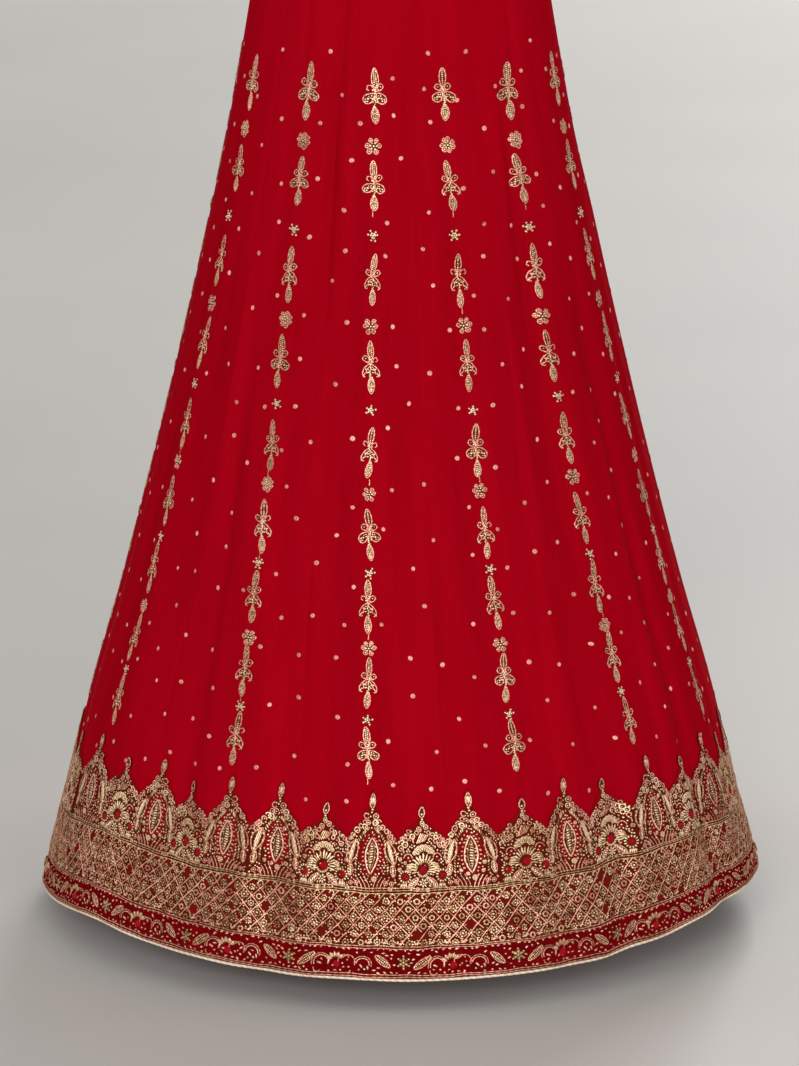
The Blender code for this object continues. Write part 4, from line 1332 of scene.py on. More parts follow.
def make_kali_sequins(index):
    """The sequins on one kali."""
    mine = (SEQUIN_TURNS > SEAMS[index]) & (SEQUIN_TURNS < SEAMS[index + 1])
    rng = np.random.default_rng(300 + index)
    count = int(mine.sum())
    stitching = Stitching()
    stitching.lay(SEQUIN, SEQUIN_TURNS[mine], SEQUIN_HEIGHTS[mine], rng.uniform(0.0, 40.0, count),
                  rng.uniform(0.76, 0.94, count), tones=rng.uniform(-0.2, 0.1, count))
    return stitching.make("kali_%02d_sequins" % (index + 1), SEQUIN_GOLD)


# ---- the arches, in millimetres up from the foot of the arch border ----------------------------

ARCH_PITCH = 50.0            # between two arches, as drawn
TALL_HEIGHT = (TALL_POINT - ARCH_FOOT) / MM
FLORAL_HEIGHT = (FLORAL_POINT - ARCH_FOOT) / MM
VALLEY_HEIGHT = (VALLEY - ARCH_FOOT) / MM
OUTLINE_MARGIN = 1.6
BLUSH = -0.72                # the tone of a thin cord in the border
SHADE_SPOT_TONE = -0.22            # the tone of the painted shade inside a leaf or loop


def scatter(sketch, inside, box, rng, spacing, clearance, draw):
    """Draws at spots that are inside, apart from each other and clear of the sketch so far."""
    taken = np.concatenate(sketch.points)[:, :2]
    left, right, foot, top = box
    columns = int((right - left) / spacing * 1.6)
    rows = int((top - foot) / spacing * 1.6)
    column, row = np.meshgrid(np.arange(columns), np.arange(rows))
    spots = np.stack((left + (column + 0.5 * (row % 2)) * (right - left) / columns,
                      foot + row * (top - foot) / rows), axis=-1).reshape(-1, 2)
    spots += rng.uniform(-0.5, 0.5, spots.shape) * spacing * 0.5
    rng.shuffle(spots)
    kept = np.full((1, 2), 1e6)
    for x, y in spots:
        if not inside(x, y) or np.hypot(taken[:, 0] - x, taken[:, 1] - y).min() < clearance:
            continue
        if np.hypot(kept[:, 0] - x, kept[:, 1] - y).min() < spacing:
            continue
        draw(x, y)
        kept = np.append(kept, [(x, y)], axis=0)


def fill_arch(sketch, height, bare, rng):
    """Fills the bare ground under an arch's outline with small loops, and the gaps with beads."""
    def inside(x, y):
        rise = arch_rise(abs(x) / (ARCH_PITCH / 2))
        top = VALLEY_HEIGHT + rise * (height - VALLEY_HEIGHT) - OUTLINE_MARGIN
        return 1.5 < y < top and bare(x, y)

    def loop(x, y):
        tone = rng.choice((BLUSH, 0.85)) * rng.uniform(0.85, 1.25)
        sketch.eyelet(x, y, rng.uniform(1.4, 1.8), 0.95, tone, 7, 1.4, rng.uniform(0.6, 1.1))

    def bead(x, y):
        if rng.random() < 0.35:
            sketch.grain(x, y, rng.uniform(2.0, 3.2), 1.1, rng.uniform(-60.0, 60.0),
                         rng.choice((BLUSH * 1.25, 1.0)) * rng.uniform(0.8, 1.2))
        else:
            sketch.seed(x, y, rng.uniform(1.4, 1.9), rng.uniform(0.65, 1.3))

    box = (-ARCH_PITCH / 2, ARCH_PITCH / 2, 1.5, height)
    scatter(sketch, inside, box, rng, 6.4, 2.2, loop)
    scatter(sketch, inside, box, rng, 2.15, 1.25, bead)


def lay_rope(sketch, path, half, width, slant, rng):
    """A band of short slanting stitches along a path. Half is the side of the arch it is on."""
    spots = smooth_path(path, 10)
    ahead = np.gradient(spots, axis=0)
    for (x, y), (along, rise) in zip(spots, ahead):
        angle = math.degrees(math.atan2(rise, along)) - 90.0 + slant
        sketch.grain(half * x, y, width * rng.uniform(0.8, 1.1), 1.2,
                     half * angle + rng.uniform(-9.0, 9.0), rng.uniform(0.5, 1.2))


def lay_loops(sketch, path, count, half, rng):
    """A chain of small open loops along a path, each round a bead."""
    spots = smooth_path(path, count)
    for x, y in spots + rng.uniform(-0.6, 0.6, spots.shape):
        radius = rng.uniform(1.8, 2.7)
        tone = rng.choice((BLUSH, BLUSH, 0.90)) * rng.uniform(0.95, 1.35)
        start = rng.uniform(-40.0, 100.0)
        if rng.random() < 0.5:
            sketch.ring(half * x, y, radius, 1.0, tone, sides=9)
        else:
            sketch.arc(half * x, y, radius, start - 60.0 * half, start + 200.0, 1.0, tone, steps=9)
        if radius > 2.1:
            sketch.seed(half * (x - 0.3), y - 0.2, rng.uniform(1.5, 2.0), rng.uniform(0.7, 1.1))


def filled_leaf(sketch, x, y, half, lean, outline, satin):
    """A leaf edged with a thin cord and filled with slanting satin stitches.

    The outline is its length, width, cord tone and steps; the satin is its length, width, lean,
    pitch and tone.
    """
    length, width, tone, steps = outline
    sketch.leaf_outline(half * x, y, length, width, lean, 0.9, tone, steps=steps)
    length, width, slant, pitch, tone = satin
    sketch.satin_leaf(half * x, y, length, width, lean, slant * half, pitch, tone)


def draw_almond(arch, rng):
    """The almond inside a tall arch: a bright cord, a gap of painted shade and a ribbed leaf, with
    teeth.
    """
    lean = rng.uniform(-4.0, 4.0)
    arch.leaf_outline(0.0, 33.2, 34.0, 12.4, lean, 1.2, BLUSH * 1.5, steps=15, shade_bed=SHADE_SPOT_TONE)
    arch.leaf_outline(0.1, 33.2, 27.0, 6.0, lean, 0.7, 0.60, steps=13)
    arch.satin_leaf(-0.4, 33.4, 24.5, 4.2, lean, 14.0, 2.3, 1.15)
    teeth = smooth_path(((3.0, 49.6), (6.4, 44.0), (8.6, 36.0), (8.6, 28.0), (6.6, 20.5)), 9)
    for half in (-1.0, 1.0):
        for x, y in teeth:
            arch.grain(half * x, y, rng.uniform(2.2, 3.0), 1.15, half * rng.uniform(50.0, 80.0),
                       BLUSH * rng.uniform(1.0, 1.6))


def round_almond(x, y):
    """Whether a place lies on the red ground round the almond of a tall arch."""
    along = min(max((y - 16.0) / 34.4, 0.0), 1.0)
    return ((x / 12.0) ** 2 + ((y - 33.5) / 20.5) ** 2 < 1.0
            and abs(x) > 6.6 * math.sin(math.pi * along) + 0.6)


def draw_tall_arch(seed):
    """A pointed arch round a long almond on red ground, under a filled drop."""
    rng = np.random.default_rng(seed)
    arch = Sketch()
    side = 1.0 if seed % 2 else -1.0
    # the drop on its point, and the beads and curls under it
    arch.leaf_outline(0.3, 84.7, 14.0, 5.2, rng.uniform(-3.0, 3.0), 0.9, BLUSH * 1.1, steps=11,
                      blunt=0.9, shade_bed=SHADE_SPOT_TONE)
    for aside, length in ((-0.9, 7.5), (0.4, 10.5), (1.5, 7.0)):
        arch.grain(aside, 84.4, length, 0.9, 0.0, rng.uniform(0.85, 1.10))
    arch.seed(0.5, 76.7, 2.5, 1.0)
    arch.seed(-0.2, 74.2, 2.3, 0.9)
    arch.eyelet(side * 3.8, 70.4, 2.6, 1.05, BLUSH * 1.1, 9, 1.9, 1.0)
    start = 30.0 if side > 0 else -150.0
    arch.arc(-side * 5.2, 70.8, 2.6, start, start + 300.0, 1.05, BLUSH * 1.1, steps=9)
    for half in (-1.0, 1.0):
        # the curls that the arch climbs in, from the valley to the drop
        lay_loops(arch, ((7.2, 64.8), (11.2, 60.6), (15.4, 56.8), (18.6, 51.4), (20.6, 46.6)), 5,
                  half, rng)
        lay_loops(arch, ((3.4, 64.6), (7.8, 59.8)), 2, half, rng)
        # a band of slanting stitches inside them, down to the leaf in the valley
        lay_rope(arch, ((3.0, 59.4), (6.2, 56.8), (9.6, 53.2), (12.6, 48.0), (14.2, 42.0)), half,
                 4.2, -50.0, rng)
        lay_rope(arch, ((12.6, 40.0), (14.6, 33.0), (16.0, 25.0), (16.4, 17.0)), half, 3.2, -38.0,
                 rng)
        # the filled leaf in the valley, and a smaller one below it
        filled_leaf(arch, 19.2, 36.4, half, half * 20.0 + rng.uniform(-4.0, 4.0),
                    (24.0, 11.0, BLUSH * 1.1, 12), (21.5, 9.6, 54.0, 2.35, 1.15))
        filled_leaf(arch, 21.6, 19.5, half, half * 10.0, (13.0, 5.4, BLUSH, 9),
                    (11.0, 4.4, 45.0, 2.2, 1.20))
        # fanned cords at the foot
        for place in range(4):
            fan = smooth_path(((half * (1.6 + place * 3.9), 2.3), (half * (3.2 + place * 4.0), 7.6),
                               (half * (7.0 + place * 3.8), 14.6 - place * 1.2)), 7)
            arch.cord(fan, 0.9, BLUSH * rng.uniform(0.9, 1.3))
        for x, y in ((15.4, 7.6), (21.0, 7.4)):
            arch.eyelet(half * x, y, 2.0, 0.95, BLUSH, 8, 1.6, 1.0)
    draw_almond(arch, rng)
    # a pale round of stitches beside its foot
    arch.sunburst(side * 3.0, 11.6, 0.75, 3.0, 8, 1.9, 0.98)
    arch.seed(side * 3.0, 11.6, 1.8, 1.0)

    def knot(x, y):
        arch.ring(x, y, rng.uniform(1.25, 1.55), 0.95, BLUSH * rng.uniform(1.0, 1.5), sides=7)
        if rng.random() < 0.5:
            arch.seed(x, y, 1.2, -0.9)

    def speck(x, y):
        if rng.random() < 0.8:
            arch.grain(x, y, rng.uniform(1.6, 2.8), 1.05, rng.uniform(-70.0, 70.0),
                       rng.choice((BLUSH * 1.4, 1.0)) * rng.uniform(0.8, 1.2))

    red_box = (-12.6, 12.6, 13.0, 54.0)
    scatter(arch, round_almond, red_box, rng, 4.1, 2.0, knot)
    scatter(arch, round_almond, red_box, rng, 2.2, 1.35, speck)
    fill_arch(arch, TALL_HEIGHT, lambda x, y: not round_almond(x, y), rng)
    return arch


def draw_dome(arch, rng):
    """The scalloped dome of a floral arch, and the fan of petals inside it."""
    for index in range(8):
        angle = 167.0 - 22.0 * index
        turn = math.radians(angle)
        arch.eyelet(0.8 + 9.0 * math.cos(turn), 34.2 + 7.6 * math.sin(turn), 1.7, 0.9, 1.0, 7, 1.5,
                    1.2)
        arch.grain(0.8 + 5.6 * math.cos(turn), 34.2 + 4.7 * math.sin(turn), 3.6, 1.2, angle - 90.0,
                   rng.uniform(0.9, 1.25))
    for index in range(15):
        angle = -105.0 + 15.0 * index + rng.uniform(-2.0, 2.0)
        reach = rng.uniform(9.0, 11.0) - 2.5 * abs(index - 7) / 7
        arch.grain(*polar(0.6, 20.4, 5.4 + reach / 2, 90.0 - angle), reach, 1.3, -angle,
                   rng.uniform(0.85, 1.25))
    arch.sunburst(0.6, 20.4, 4.6, 7.2, 9, 1.4, 1.0, 200.0, 340.0)


def draw_floral_arch(seed):
    """A lower arch: an open drop over a fan of pale petals round a red disc."""
    rng = np.random.default_rng(seed)
    arch = Sketch()
    side = 1.0 if seed % 2 else -1.0
    # the drop on its point, and the bud under it
    arch.leaf_outline(0.0, 74.4, 10.6, 5.6, rng.uniform(-4.0, 4.0), 0.95, BLUSH * 1.15, steps=11,
                      blunt=0.8, shade_bed=SHADE_SPOT_TONE)
    arch.seed(0.2, 72.4, 2.2, 1.1)
    arch.seed(0.3, 67.6, 2.6, 1.0)
    arch.leaf_outline(0.2, 63.6, 5.6, 3.6, 0.0, 0.9, 0.9, steps=8, shade_bed=SHADE_SPOT_TONE)
    arch.seed(0.2, 63.6, 1.8, 1.1)
    for half in (-1.0, 1.0):
        # two curls at the neck, and another below each
        arch.eyelet(half * 3.6, 59.0 + half * side, 2.3, 1.0, BLUSH * 1.15, 9, 1.8, 1.0)
        arch.ring(half * 6.4, 54.6, 1.9, 0.95, BLUSH * 1.1, sides=8)
        # curls and beaded loops along the flat shoulder
        lay_loops(arch, ((10.2, 51.4), (14.4, 50.6), (18.2, 49.0), (21.2, 45.0), (22.4, 40.6)), 5,
                  half, rng)
        lay_loops(arch, ((8.4, 47.4), (13.6, 45.8), (17.8, 43.4)), 3, half, rng)
        # the two broad petals beside the disc
        for index in range(5):
            arch.grain(half * (12.6 + 0.5 * index), 25.6 - index * 1.7, 9.0 - 0.5 * index, 1.15,
                       half * (78.0 + 5.0 * index), rng.uniform(0.85, 1.15))
        # the leaves that hang from the disc
        arch.leaf_outline(half * 10.0, 8.4, 16.5, 5.4, -half * 132.0, 0.9, BLUSH * 1.1, steps=10)
        arch.satin_leaf(half * 10.0, 8.4, 14.5, 4.4, -half * 132.0, 40.0, 2.2, 1.30)
    # the diagonal cords of the neck
    for index in range(5):
        x = -4.6 + index * 1.9
        arch.cord(smooth_path(((side * (x - 1.6), 44.6 + index * 0.5), (side * x, 48.6),
                               (side * (x + 2.6), 54.4 - index * 0.6)), 5), 0.9,
                  rng.choice((BLUSH, 0.95)) * rng.uniform(0.85, 1.2))
    draw_dome(arch, rng)
    # a small half flower over each side disc
    for half, x, y in ((-1.0, -18.6, 13.8), (1.0, 19.8, 14.4)):
        arch.sunburst(x, y, 4.0, 6.6, 13, 1.5, 1.05)
        arch.arc(half * 14.6, 30.6, 4.6, 10.0, 170.0, 0.95, BLUSH * 1.1, steps=9)
        arch.seed(half * 14.2, 31.6, 2.0, 1.1)
        for index in range(4):
            arch.grain(half * (17.6 + index * 1.7), 5.4, 5.2, 1.2, -half * (8.0 - 9.0 * index),
                       rng.uniform(0.9, 1.2))
    arch.sunburst(0.6, 8.4, 1.2, 4.6, 7, 1.7, 1.1)
    arch.seed(0.6, 8.4, 1.9, 0.9)
    fill_arch(arch, FLORAL_HEIGHT,
              lambda x, y: (abs(x) - 14.4) ** 2 + (y - 31.6) ** 2 > 11.0, rng)
    return arch


def arch_pitches():
    """The width of cloth that each arch has, as a share of the width it is drawn with."""
    before = np.roll(ARCH_TURNS, 1)
    before[0] -= 360.0
    width = (NEXT_TURNS - before) / 2 * metres_per_degree(ARCH_TURNS, VALLEY)
    return width / (ARCH_PITCH * MM)


EDGE_SPACING = 3.9           # between the small rings along the border's top edge
EDGE_INSET = 1.5
EDGE_TOP = 9.0               # how far above the valleys the row of rings climbs


def make_arch_edging():
    """A row of small rings and beads that follows the border's top edge."""
    rng = np.random.default_rng(61)
    turns, heights = arch_edge()
    turns = np.append(turns, turns[0] + 360.0)
    heights = np.append(heights, heights[0])
    across = np.diff(turns) * metres_per_degree(turns[:-1], heights[:-1]) / MM
    up = np.diff(heights) / MM
    along = np.append(0.0, np.cumsum(np.hypot(across, up)))
    stops = np.arange(0.0, along[-1] - EDGE_SPACING / 2, EDGE_SPACING)
    ring = Sketch()
    ring.ring(0.0, 0.0, 1.7, 0.95, BLUSH, sides=7)
    bead = Sketch()
    bead.seed(0.0, 0.0, 2.4, 0.95)
    edging = Stitching(GROUND_LIFT)
    turn_at = np.interp(stops, along, turns)
    height_at = np.interp(stops, along, heights) - EDGE_INSET * MM
    low = height_at < VALLEY + EDGE_TOP * MM
    ringed = rng.random(len(stops)) < 0.55
    for sketch, chosen in ((ring, ringed & low), (bead, ~ringed & low)):
        count = int(chosen.sum())
        edging.lay(sketch, turn_at[chosen], height_at[chosen], rng.uniform(0.0, 60.0, count),
                   rng.uniform(0.9, 1.2, count), tones=rng.uniform(-0.12, 0.1, count))
    return edging.make("arches_edging", BORDER_GOLD)


# the red discs of a floral arch: x, y, radius
ARCH_DISCS = ((0.6, 20.4, 4.9), (-18.6, 13.8, 3.9), (19.8, 14.4, 3.9), (-14.4, 30.2, 2.6),
              (14.4, 30.2, 2.6))


def make_arches():
    """All arches, tall and floral, and the red discs of each floral one."""
    rng = np.random.default_rng(41)
    widths = arch_pitches()
    pieces = []
    for name, point, draw in (("tall", TALL_POINT, draw_tall_arch),
                              ("floral", FLORAL_POINT, draw_floral_arch)):
        sketches = [draw(seed) for seed in (1, 2, 3, 4)]
        stitching = Stitching(GROUND_LIFT)
        for place, index in enumerate(np.flatnonzero(ARCH_POINTS == point)):
            stitching.lay(sketches[place % 4], ARCH_TURNS[index], ARCH_FOOT, 0.0, 1.0,
                          widths[index], 1.0 if rng.random() < 0.5 else -1.0,
                          rng.uniform(-0.05, 0.05))
        pieces.append(stitching.make("arches_%s_gold" % name, BORDER_GOLD))
    pieces.append(make_arch_edging())
    discs = Sketch()
    for x, y, radius in ARCH_DISCS:
        discs.disc(x, y, radius, radius * 0.28, 0.85)
    red = Stitching(GROUND_LIFT)
    chosen = ARCH_POINTS == FLORAL_POINT
    red.lay(discs, ARCH_TURNS[chosen], ARCH_FOOT, widths=widths[chosen])
    pieces.append(red.make("arches_red_discs", RED_SATIN))
    return pieces


# ---- the lattice, in millimetres ---------------------------------------------------------------

LINE_STEPS = 720
LINE_HEIGHT = 0.7
LINE_WAVE = 0.00028          # how far the lines round the skirt waver, in metres
LATTICE_CELLS = 145
CELL_RISE = 0.0150
LATTICE_MARGIN = 0.0012      # between the crossed cords and the edges of their band
LATTICE_PLAIN = 0.035        # share of the cells left without a rosette
KNOTTED = 0.8                # share of the crossings that have a bead
# x, y, size, tone
KNOT_BEADS = ((0.0, 0.0, 1.9, 0.95), (0.0, 2.9, 1.5, 0.80), (0.0, -2.9, 1.5, 0.80),
              (2.8, 0.3, 1.4, -0.95), (-2.8, -0.3, 1.4, -0.95))
# height over the foot of the arches, width, tone
LATTICE_LINES = ((2.9, 0.5, 0.80), (0.8, 0.6, 0.75), (-1.3, 0.6, 0.85))


def lay_lines(stitching, foot, lines):
    """Thin cords all the way round. Each line gives how far up it is, its width and its tone."""
    turns = np.arange(LINE_STEPS) * 360.0 / LINE_STEPS
    for up, width, tone in lines:
        wave = LINE_WAVE * np.sin(np.radians(turns * 9.0 + up * 40.0))
        stitching.run(turns, foot + up * MM + wave, width, LINE_HEIGHT, tone, closed=True)


def draw_rosette(seed):
    """A knobbly ring of thread round a bead."""
    rng = np.random.default_rng(seed)
    rosette = Sketch()
    count = 7 + seed % 2
    rosette.ring(0.0, 0.0, 2.4, 1.3, 0.60, sides=2 * count, height=0.9)
    angles = np.arange(count) * 2 * math.pi / count + rng.uniform(-0.12, 0.12, count)
    for angle in np.degrees(angles):
        rosette.seed(*polar(0.0, 0.0, rng.uniform(2.2, 2.9), angle), rng.uniform(1.6, 2.3),
                     rng.uniform(0.60, 1.25))
    for index in range(1 + seed % 3):
        rosette.seed(*polar(0.0, 0.0, 0.5 * index, math.degrees(2.4 * index)),
                     rng.uniform(1.5, 2.2), rng.uniform(0.7, 1.2))
    return rosette


def draw_ringed_rosette(seed):
    """A thick loop of cord with a dark middle."""
    rng = np.random.default_rng(seed)
    rosette = Sketch()
    rosette.ring(0.0, 0.0, rng.uniform(2.0, 2.3), 1.7, rng.choice((-1.0, -0.85, 0.9)), sides=10,
                 height=1.2)
    return rosette


def draw_half_rosette(seed):
    """The small cluster in the cut cells along the top and the foot of the lattice."""
    rng = np.random.default_rng(seed)
    rosette = Sketch()
    for index in range(5):
        rosette.seed(*polar(0.0, -0.6, 2.2, 50.0 * index - 10.0), rng.uniform(1.7, 2.2),
                     rng.uniform(0.75, 1.1))
    return rosette


def lay_crossed_cords(gold_work, top, foot, cell, rng):
    """Two sets of leaning cords. One is pale and whole, and the other is dull and comes and goes."""
    heights = np.linspace(top, foot, 13)
    across = (heights - top) * cell / CELL_RISE
    for index in range(LATTICE_CELLS):
        turns = index * cell + across
        turns = turns + rng.uniform(-0.10, 0.10) + rng.uniform(-0.05, 0.05, len(heights))
        gold_work.run(turns, heights, rng.uniform(0.9, 1.15), 1.0, BLUSH * rng.uniform(0.95, 1.45))
        start = rng.integers(0, 5)
        part = slice(start, start + rng.integers(7, 12))
        turns = index * cell - across + rng.uniform(-0.10, 0.10)
        gold_work.run(turns[part], heights[part], 0.9, 1.0, BLUSH * rng.uniform(0.85, 1.35))


def make_lattice():
    """Crossed cords, a rosette in each cell, and thin lines above."""
    rng = np.random.default_rng(52)
    gold_work = Stitching(GROUND_LIFT)
    cell = 360.0 / LATTICE_CELLS
    top = ARCH_FOOT - LATTICE_MARGIN
    foot = LATTICE_FOOT + LATTICE_MARGIN
    lay_crossed_cords(gold_work, top, foot, cell, rng)
    rosettes = [draw_rosette(seed) for seed in range(6)]
    rosettes += [draw_ringed_rosette(seed) for seed in range(2)]
    columns = np.arange(LATTICE_CELLS)
    rows = int((top - foot) / (CELL_RISE / 2))
    for row in range(1, rows + 1):
        height = top - row * CELL_RISE / 2
        turns = (columns + 0.5 * ((row + 1) % 2)) * cell
        keep = rng.random(LATTICE_CELLS) > LATTICE_PLAIN
        kind = rng.integers(len(rosettes), size=LATTICE_CELLS)
        for number, rosette in enumerate(rosettes):
            mine = keep & (kind == number)
            count = int(mine.sum())
            gold_work.lay(rosette, turns[mine] + rng.uniform(-0.09, 0.09, count),
                          height + rng.uniform(-0.4, 0.4, count) * MM,
                          rng.uniform(0.0, 60.0, count), rng.uniform(0.98, 1.18, count),
                          tones=rng.uniform(-0.36, 0.08, count))
    # a bead where two cords cross, and smaller ones beside it
    knot = Sketch()
    for x, y, size, tone in KNOT_BEADS:
        knot.seed(x, y, size, tone)
    for row in range(1, rows + 1):
        keep = rng.random(LATTICE_CELLS) < KNOTTED
        turns = (columns[keep] + 0.5 * (row % 2)) * cell
        count = len(turns)
        gold_work.lay(knot, turns + rng.uniform(-0.08, 0.08, count), top - row * CELL_RISE / 2,
                      rng.uniform(-15.0, 15.0, count), tones=rng.uniform(-0.3, 0.2, count))
    cut = [draw_half_rosette(seed) for seed in range(3)]
    for height, shift, flip in ((top - 0.0024, 0.5, 0.0), (foot + 0.0022, 0.5 * (rows % 2), 180.0)):
        kind = rng.integers(len(cut), size=LATTICE_CELLS)
        for number, cluster in enumerate(cut):
            mine = kind == number
            gold_work.lay(cluster, (columns[mine] + shift) * cell, height,
                          flip + rng.uniform(-20.0, 20.0, int(mine.sum())),
                          tones=rng.uniform(-0.1, 0.1, int(mine.sum())))
    lay_lines(gold_work, ARCH_FOOT, LATTICE_LINES)
    return gold_work.make("lattice_gold", BORDER_GOLD)


# ---- the hem border, in millimetres up from its foot -------------------------------------------

BORDER_UNITS = 20
BORDER_START = 0.5           # the turn of the first unit
BORDER_HEIGHT = (LATTICE_FOOT - CLOTH_FOOT) / MM
UNIT_HALF = 54.0
BORDER_STITCH = 0.8          # the width of its thin cords
BORDER_DISC = (46.0, 10.8, 4.2)
DASHES_ON_GROUND = 460       # tried, and laid wherever the ground is bare
DASHES_IN_ROW = 17
# the rows of dashes along the two edges: lowest, highest
DASH_ROWS = ((25.6, 26.6), (22.4, 24.0), (4.2, 5.4))
# height over the foot, width
BORDER_LINES = ((BORDER_HEIGHT - 0.7, 0.65), (BORDER_HEIGHT - 2.6, 0.55), (2.6, 0.55), (0.6, 0.60))
# the scrolls on the right and on the left, and the loops over the disc. Each row is either
# arc: x, y, radius, start, end, tone, steps, squash
# grain: x, y, length, angle, tone
# seed: x, y, size, tone
SCROLLS = (
    ("arc", 31.0, 12.0, 8.6, 20.0, 200.0, -0.62, 14, 0.92),
    ("arc", 31.0, 12.0, 6.6, 25.0, 200.0, -0.85, 13, 0.92),
    ("grain", 37.8, 12.6, 7.0, -8.0, -1.0),
    ("grain", 29.4, 11.2, 5.2, 66.0, -1.0),
    ("arc", 28.0, 6.6, 3.6, 170.0, 330.0, -0.70, 8, 1.0),
    ("arc", -38.0, 12.4, 8.0, -16.0, 176.0, -0.62, 13, 0.92),
    ("arc", -38.0, 12.4, 6.0, -10.0, 176.0, -0.80, 12, 0.92),
    ("grain", -39.6, 10.6, 4.6, 40.0, -1.0),
    ("seed", -36.2, 8.0, 2.4, 0.9),
    ("seed", -41.4, 7.0, 2.2, 0.8),
    ("grain", -33.4, 9.4, 4.4, 12.0, -0.9),
    ("arc", 53.0, 14.5, 5.6, 30.0, 190.0, -0.70, 9, 1.0),
    ("arc", -51.0, 14.0, 6.0, -30.0, 150.0, -0.70, 10, 1.0),
)


def draw_scrolls(sketch):
    for kind, x, y, *facts in SCROLLS:
        if kind == "arc":
            radius, start, end, tone, steps, squash = facts
            sketch.arc(x, y, radius, start, end, BORDER_STITCH, tone, steps, squash)
        elif kind == "grain":
            length, angle, tone = facts
            sketch.grain(x, y, length, 1.6, angle, tone)
        else:
            sketch.seed(x, y, *facts)


def lay_paddle(sketch, x, y, length, width, angle, rng):
    """A blunt leaf edged with a cord over painted shade, and filled with fine beads."""
    sketch.leaf_outline(x, y, length, width, angle, BORDER_STITCH, -0.80, steps=12, point=0.60,
                        shade_bed=-0.30)
    turn = math.radians(angle)
    for index in range(int(length / 1.9)):
        up = (index + 0.7) * 1.9 - length / 2
        for aside in (-1.05, 1.05):
            sketch.seed(x - up * math.sin(turn) + aside * math.cos(turn),
                        y + up * math.cos(turn) + aside * math.sin(turn),
                        rng.uniform(1.4, 1.8), rng.uniform(0.65, 1.05))


def add_dash(sketch, x, y, rng, clearance=2.1):
    """One short bright dash, wherever the ground round it is bare."""
    taken = np.concatenate(sketch.points)[:, :2]
    if np.hypot(taken[:, 0] - x, taken[:, 1] - y).min() < clearance:
        return
    if rng.random() < 0.25:
        sketch.seed(x, y, rng.uniform(1.6, 2.0), -rng.uniform(0.7, 1.05))
    else:
        sketch.grain(x, y, rng.uniform(2.4, 3.8), 1.2, 90.0 + rng.uniform(-50.0, 50.0),
                     -rng.uniform(0.7, 1.20))


def draw_border_unit(seed):
    """One repeat of the border: star flower, paddle leaf, scroll, fan, disc and long leaf."""
    rng = np.random.default_rng(seed)
    unit = Sketch()
    # the star flower
    for index in range(6):
        angle = 90.0 + 60.0 * index + rng.uniform(-5.0, 5.0)
        unit.grain(*polar(0.0, 14.5, 3.1, angle), 4.8, 3.6, angle - 90.0, rng.uniform(0.62, 0.80))
        unit.seed(*polar(0.0, 14.5, 5.9, angle), 2.0, 0.85)
    unit.seed(0.0, 14.5, 2.8, -0.8, sides=6)
    # the paddle leaf on its left and the long leaf on its right
    lay_paddle(unit, -20.0, 15.0, 17.0, 6.0, 52.0, rng)
    lay_paddle(unit, 17.0, 14.5, 19.0, 6.0, -52.0, rng)
    draw_scrolls(unit)
    # the fan over the red disc
    for angle in (152.0, 126.0, 100.0, 74.0, 48.0):
        x, y = polar(45.0, 12.6, 7.4, angle)
        unit.grain(x, y, 6.6, 2.0, angle - 90.0, 0.95)
        unit.ring(x, y, 1.7, BORDER_STITCH, -0.75, sides=7)
    # dashes along the two edges, and all over the ground
    for low, high in DASH_ROWS:
        for index in range(DASHES_IN_ROW):
            x = (index + 0.5) * 6.35 - UNIT_HALF + rng.uniform(-1.6, 1.6)
            add_dash(unit, x, rng.uniform(low, high), rng)
    for x, y in rng.uniform((-UNIT_HALF, 6.0), (UNIT_HALF, 22.0), (DASHES_ON_GROUND, 2)):
        add_dash(unit, x, y, rng)
    return unit


def make_border():
    """The sprays on the hem border, between double lines."""
    units = [draw_border_unit(seed) for seed in range(4)]
    gold_work = Stitching(GROUND_LIFT)
    turns = BORDER_START + np.arange(BORDER_UNITS) * 360.0 / BORDER_UNITS
    for index, turn in enumerate(turns):
        gold_work.lay(units[index % 4], turn, CLOTH_FOOT)
    lay_lines(gold_work, CLOTH_FOOT, [(up, width, BLUSH) for up, width in BORDER_LINES])
    discs = Sketch()
    discs.disc(*BORDER_DISC, 1.1, 0.9)
    red = Stitching(GROUND_LIFT)
    red.lay(discs, turns, CLOTH_FOOT)
    return [gold_work.make("border_gold", BORDER_GOLD),
            red.make("border_red_discs", RED_SATIN)]


# ---- the floor, the light and the camera -------------------------------------------------------

FLOOR_SIDES = 64
FLAT_RINGS = (0.4, 2.0, 6.0) # of the floor's mesh, as distances from the skirt
FLOOR_REACH = 10.5           # of the flat floor
RIM_BEND = 9.0               # radius of the curve by which it turns up, far from the skirt
RIM_STEPS = 14


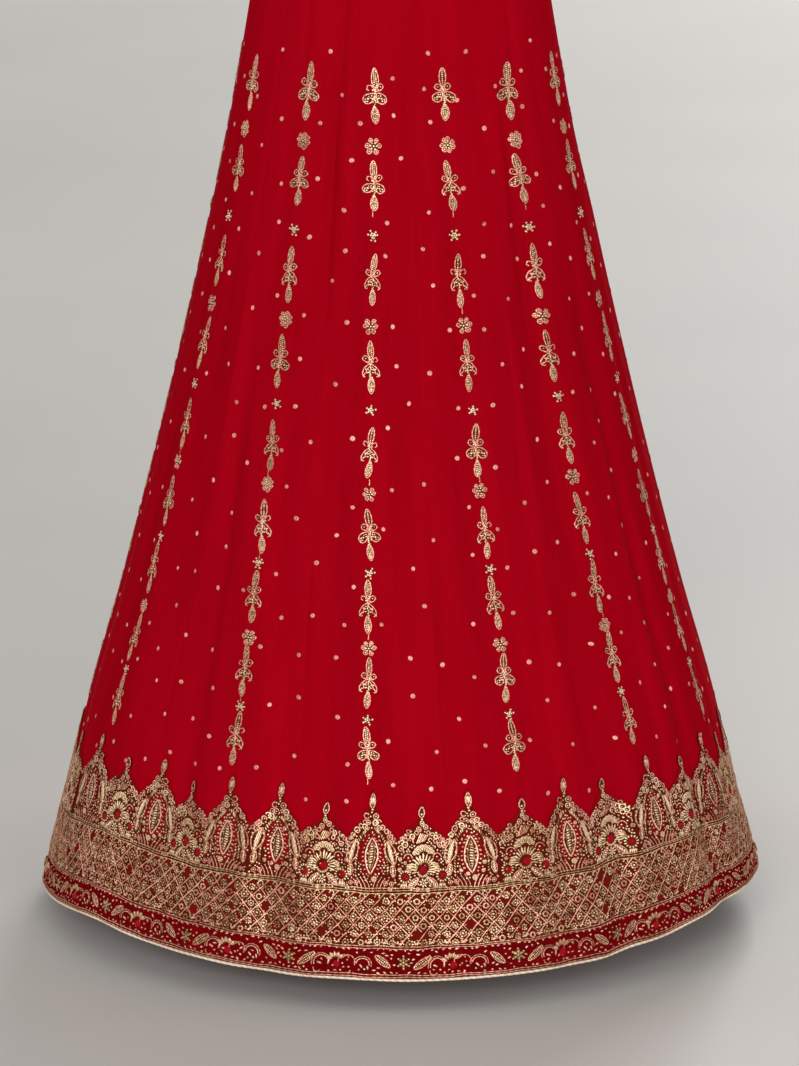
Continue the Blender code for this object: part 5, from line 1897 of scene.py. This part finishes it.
def make_stage():
    """A wide round pale floor that curves up into a rim far away, the same on all sides."""
    bend = np.radians(np.linspace(0.0, 90.0, RIM_STEPS + 1))
    reach = np.append(FLAT_RINGS, FLOOR_REACH + RIM_BEND * np.sin(bend))
    height = np.append(np.zeros(len(FLAT_RINGS)), RIM_BEND * (1.0 - np.cos(bend)))
    flat = circle(FLOOR_SIDES)[None] * reach[:, None, None]
    level = np.broadcast_to(FLOOR_LEVEL + height[:, None, None], flat.shape[:2] + (1,))
    rings = np.concatenate((flat, level), axis=2).reshape(-1, 3)
    side = np.arange(FLOOR_SIDES)
    middle = np.stack((side * 0, 1 + side, 1 + (side + 1) % FLOOR_SIDES), axis=1)
    faces = middle.tolist() + grid_faces(len(reach), FLOOR_SIDES, 1, True, False).tolist()
    mesh = bpy.data.meshes.new("floor")
    mesh.from_pydata([(0.0, 0.0, FLOOR_LEVEL)] + rings.tolist(), [], faces)
    mesh.shade_smooth()
    mesh.materials.append(floor_finish())
    floor = bpy.data.objects.new("floor", mesh)
    bpy.context.scene.collection.objects.link(floor)


# name, place, aimed at, width, height, power
LIGHTS = (
    ("key", (-2.3, -9.4, 2.4), (0.0, 0.0, -0.80), 3.8, 3.8, 395.0),
    ("fill", (3.6, -9.4, 1.2), (0.0, 0.0, -0.85), 4.2, 2.6, 268.0),
    ("left_rim", (-6.8, 0.8, 1.0), (0.0, 0.0, -0.90), 2.4, 2.4, 70.0),
    ("right_rim", (6.8, 0.8, 1.0), (0.0, 0.0, -0.90), 2.4, 2.4, 64.0),
    ("back", (2.6, 9.2, 3.2), (0.0, 0.0, -0.65), 3.6, 3.6, 330.0),
)
WORLD_COLOUR = (1.0, 0.985, 0.96, 1.0)
WORLD_STRENGTH = 0.48


def make_lights():
    for name, place, target, width, height, power in LIGHTS:
        data = bpy.data.lights.new(name, "AREA")
        data.shape = "RECTANGLE"
        data.size = width
        data.size_y = height
        data.energy = power
        light = bpy.data.objects.new(name, data)
        bpy.context.scene.collection.objects.link(light)
        light.location = place
        aim = Vector(target) - Vector(place)
        light.rotation_euler = aim.to_track_quat("-Z", "Y").to_euler()
    world = bpy.data.worlds.new("studio")
    world.use_nodes = True
    background = world.node_tree.nodes["Background"]
    background.inputs["Color"].default_value = WORLD_COLOUR
    background.inputs["Strength"].default_value = WORLD_STRENGTH
    bpy.context.scene.world = world
    bpy.context.scene.view_settings.view_transform = "Standard"


def make_camera():
    data = bpy.data.cameras.new("camera")
    data.sensor_width = SENSOR
    data.lens = FOCAL_LENGTH_PIXELS / IMAGE_LONG_SIDE * SENSOR
    data.shift_x = -1.0 / IMAGE_LONG_SIDE
    camera = bpy.data.objects.new("camera", data)
    bpy.context.scene.collection.objects.link(camera)
    camera.location = (0.0, -CAMERA_BACK, CAMERA_HEIGHT)
    camera.rotation_euler = (math.radians(90.0 - CAMERA_PITCH), 0.0, 0.0)
    bpy.context.scene.camera = camera


# ---- the whole skirt ---------------------------------------------------------------------------

make_waistband()
make_placket()
for kali in range(len(PANELS)):
    make_kali(kali, [make_kali_embroidery(kali), make_kali_sequins(kali)])
make_grounds(make_arches(), [make_lattice()], make_border() + [make_piping()])
make_stage()
make_lights()
make_camera()
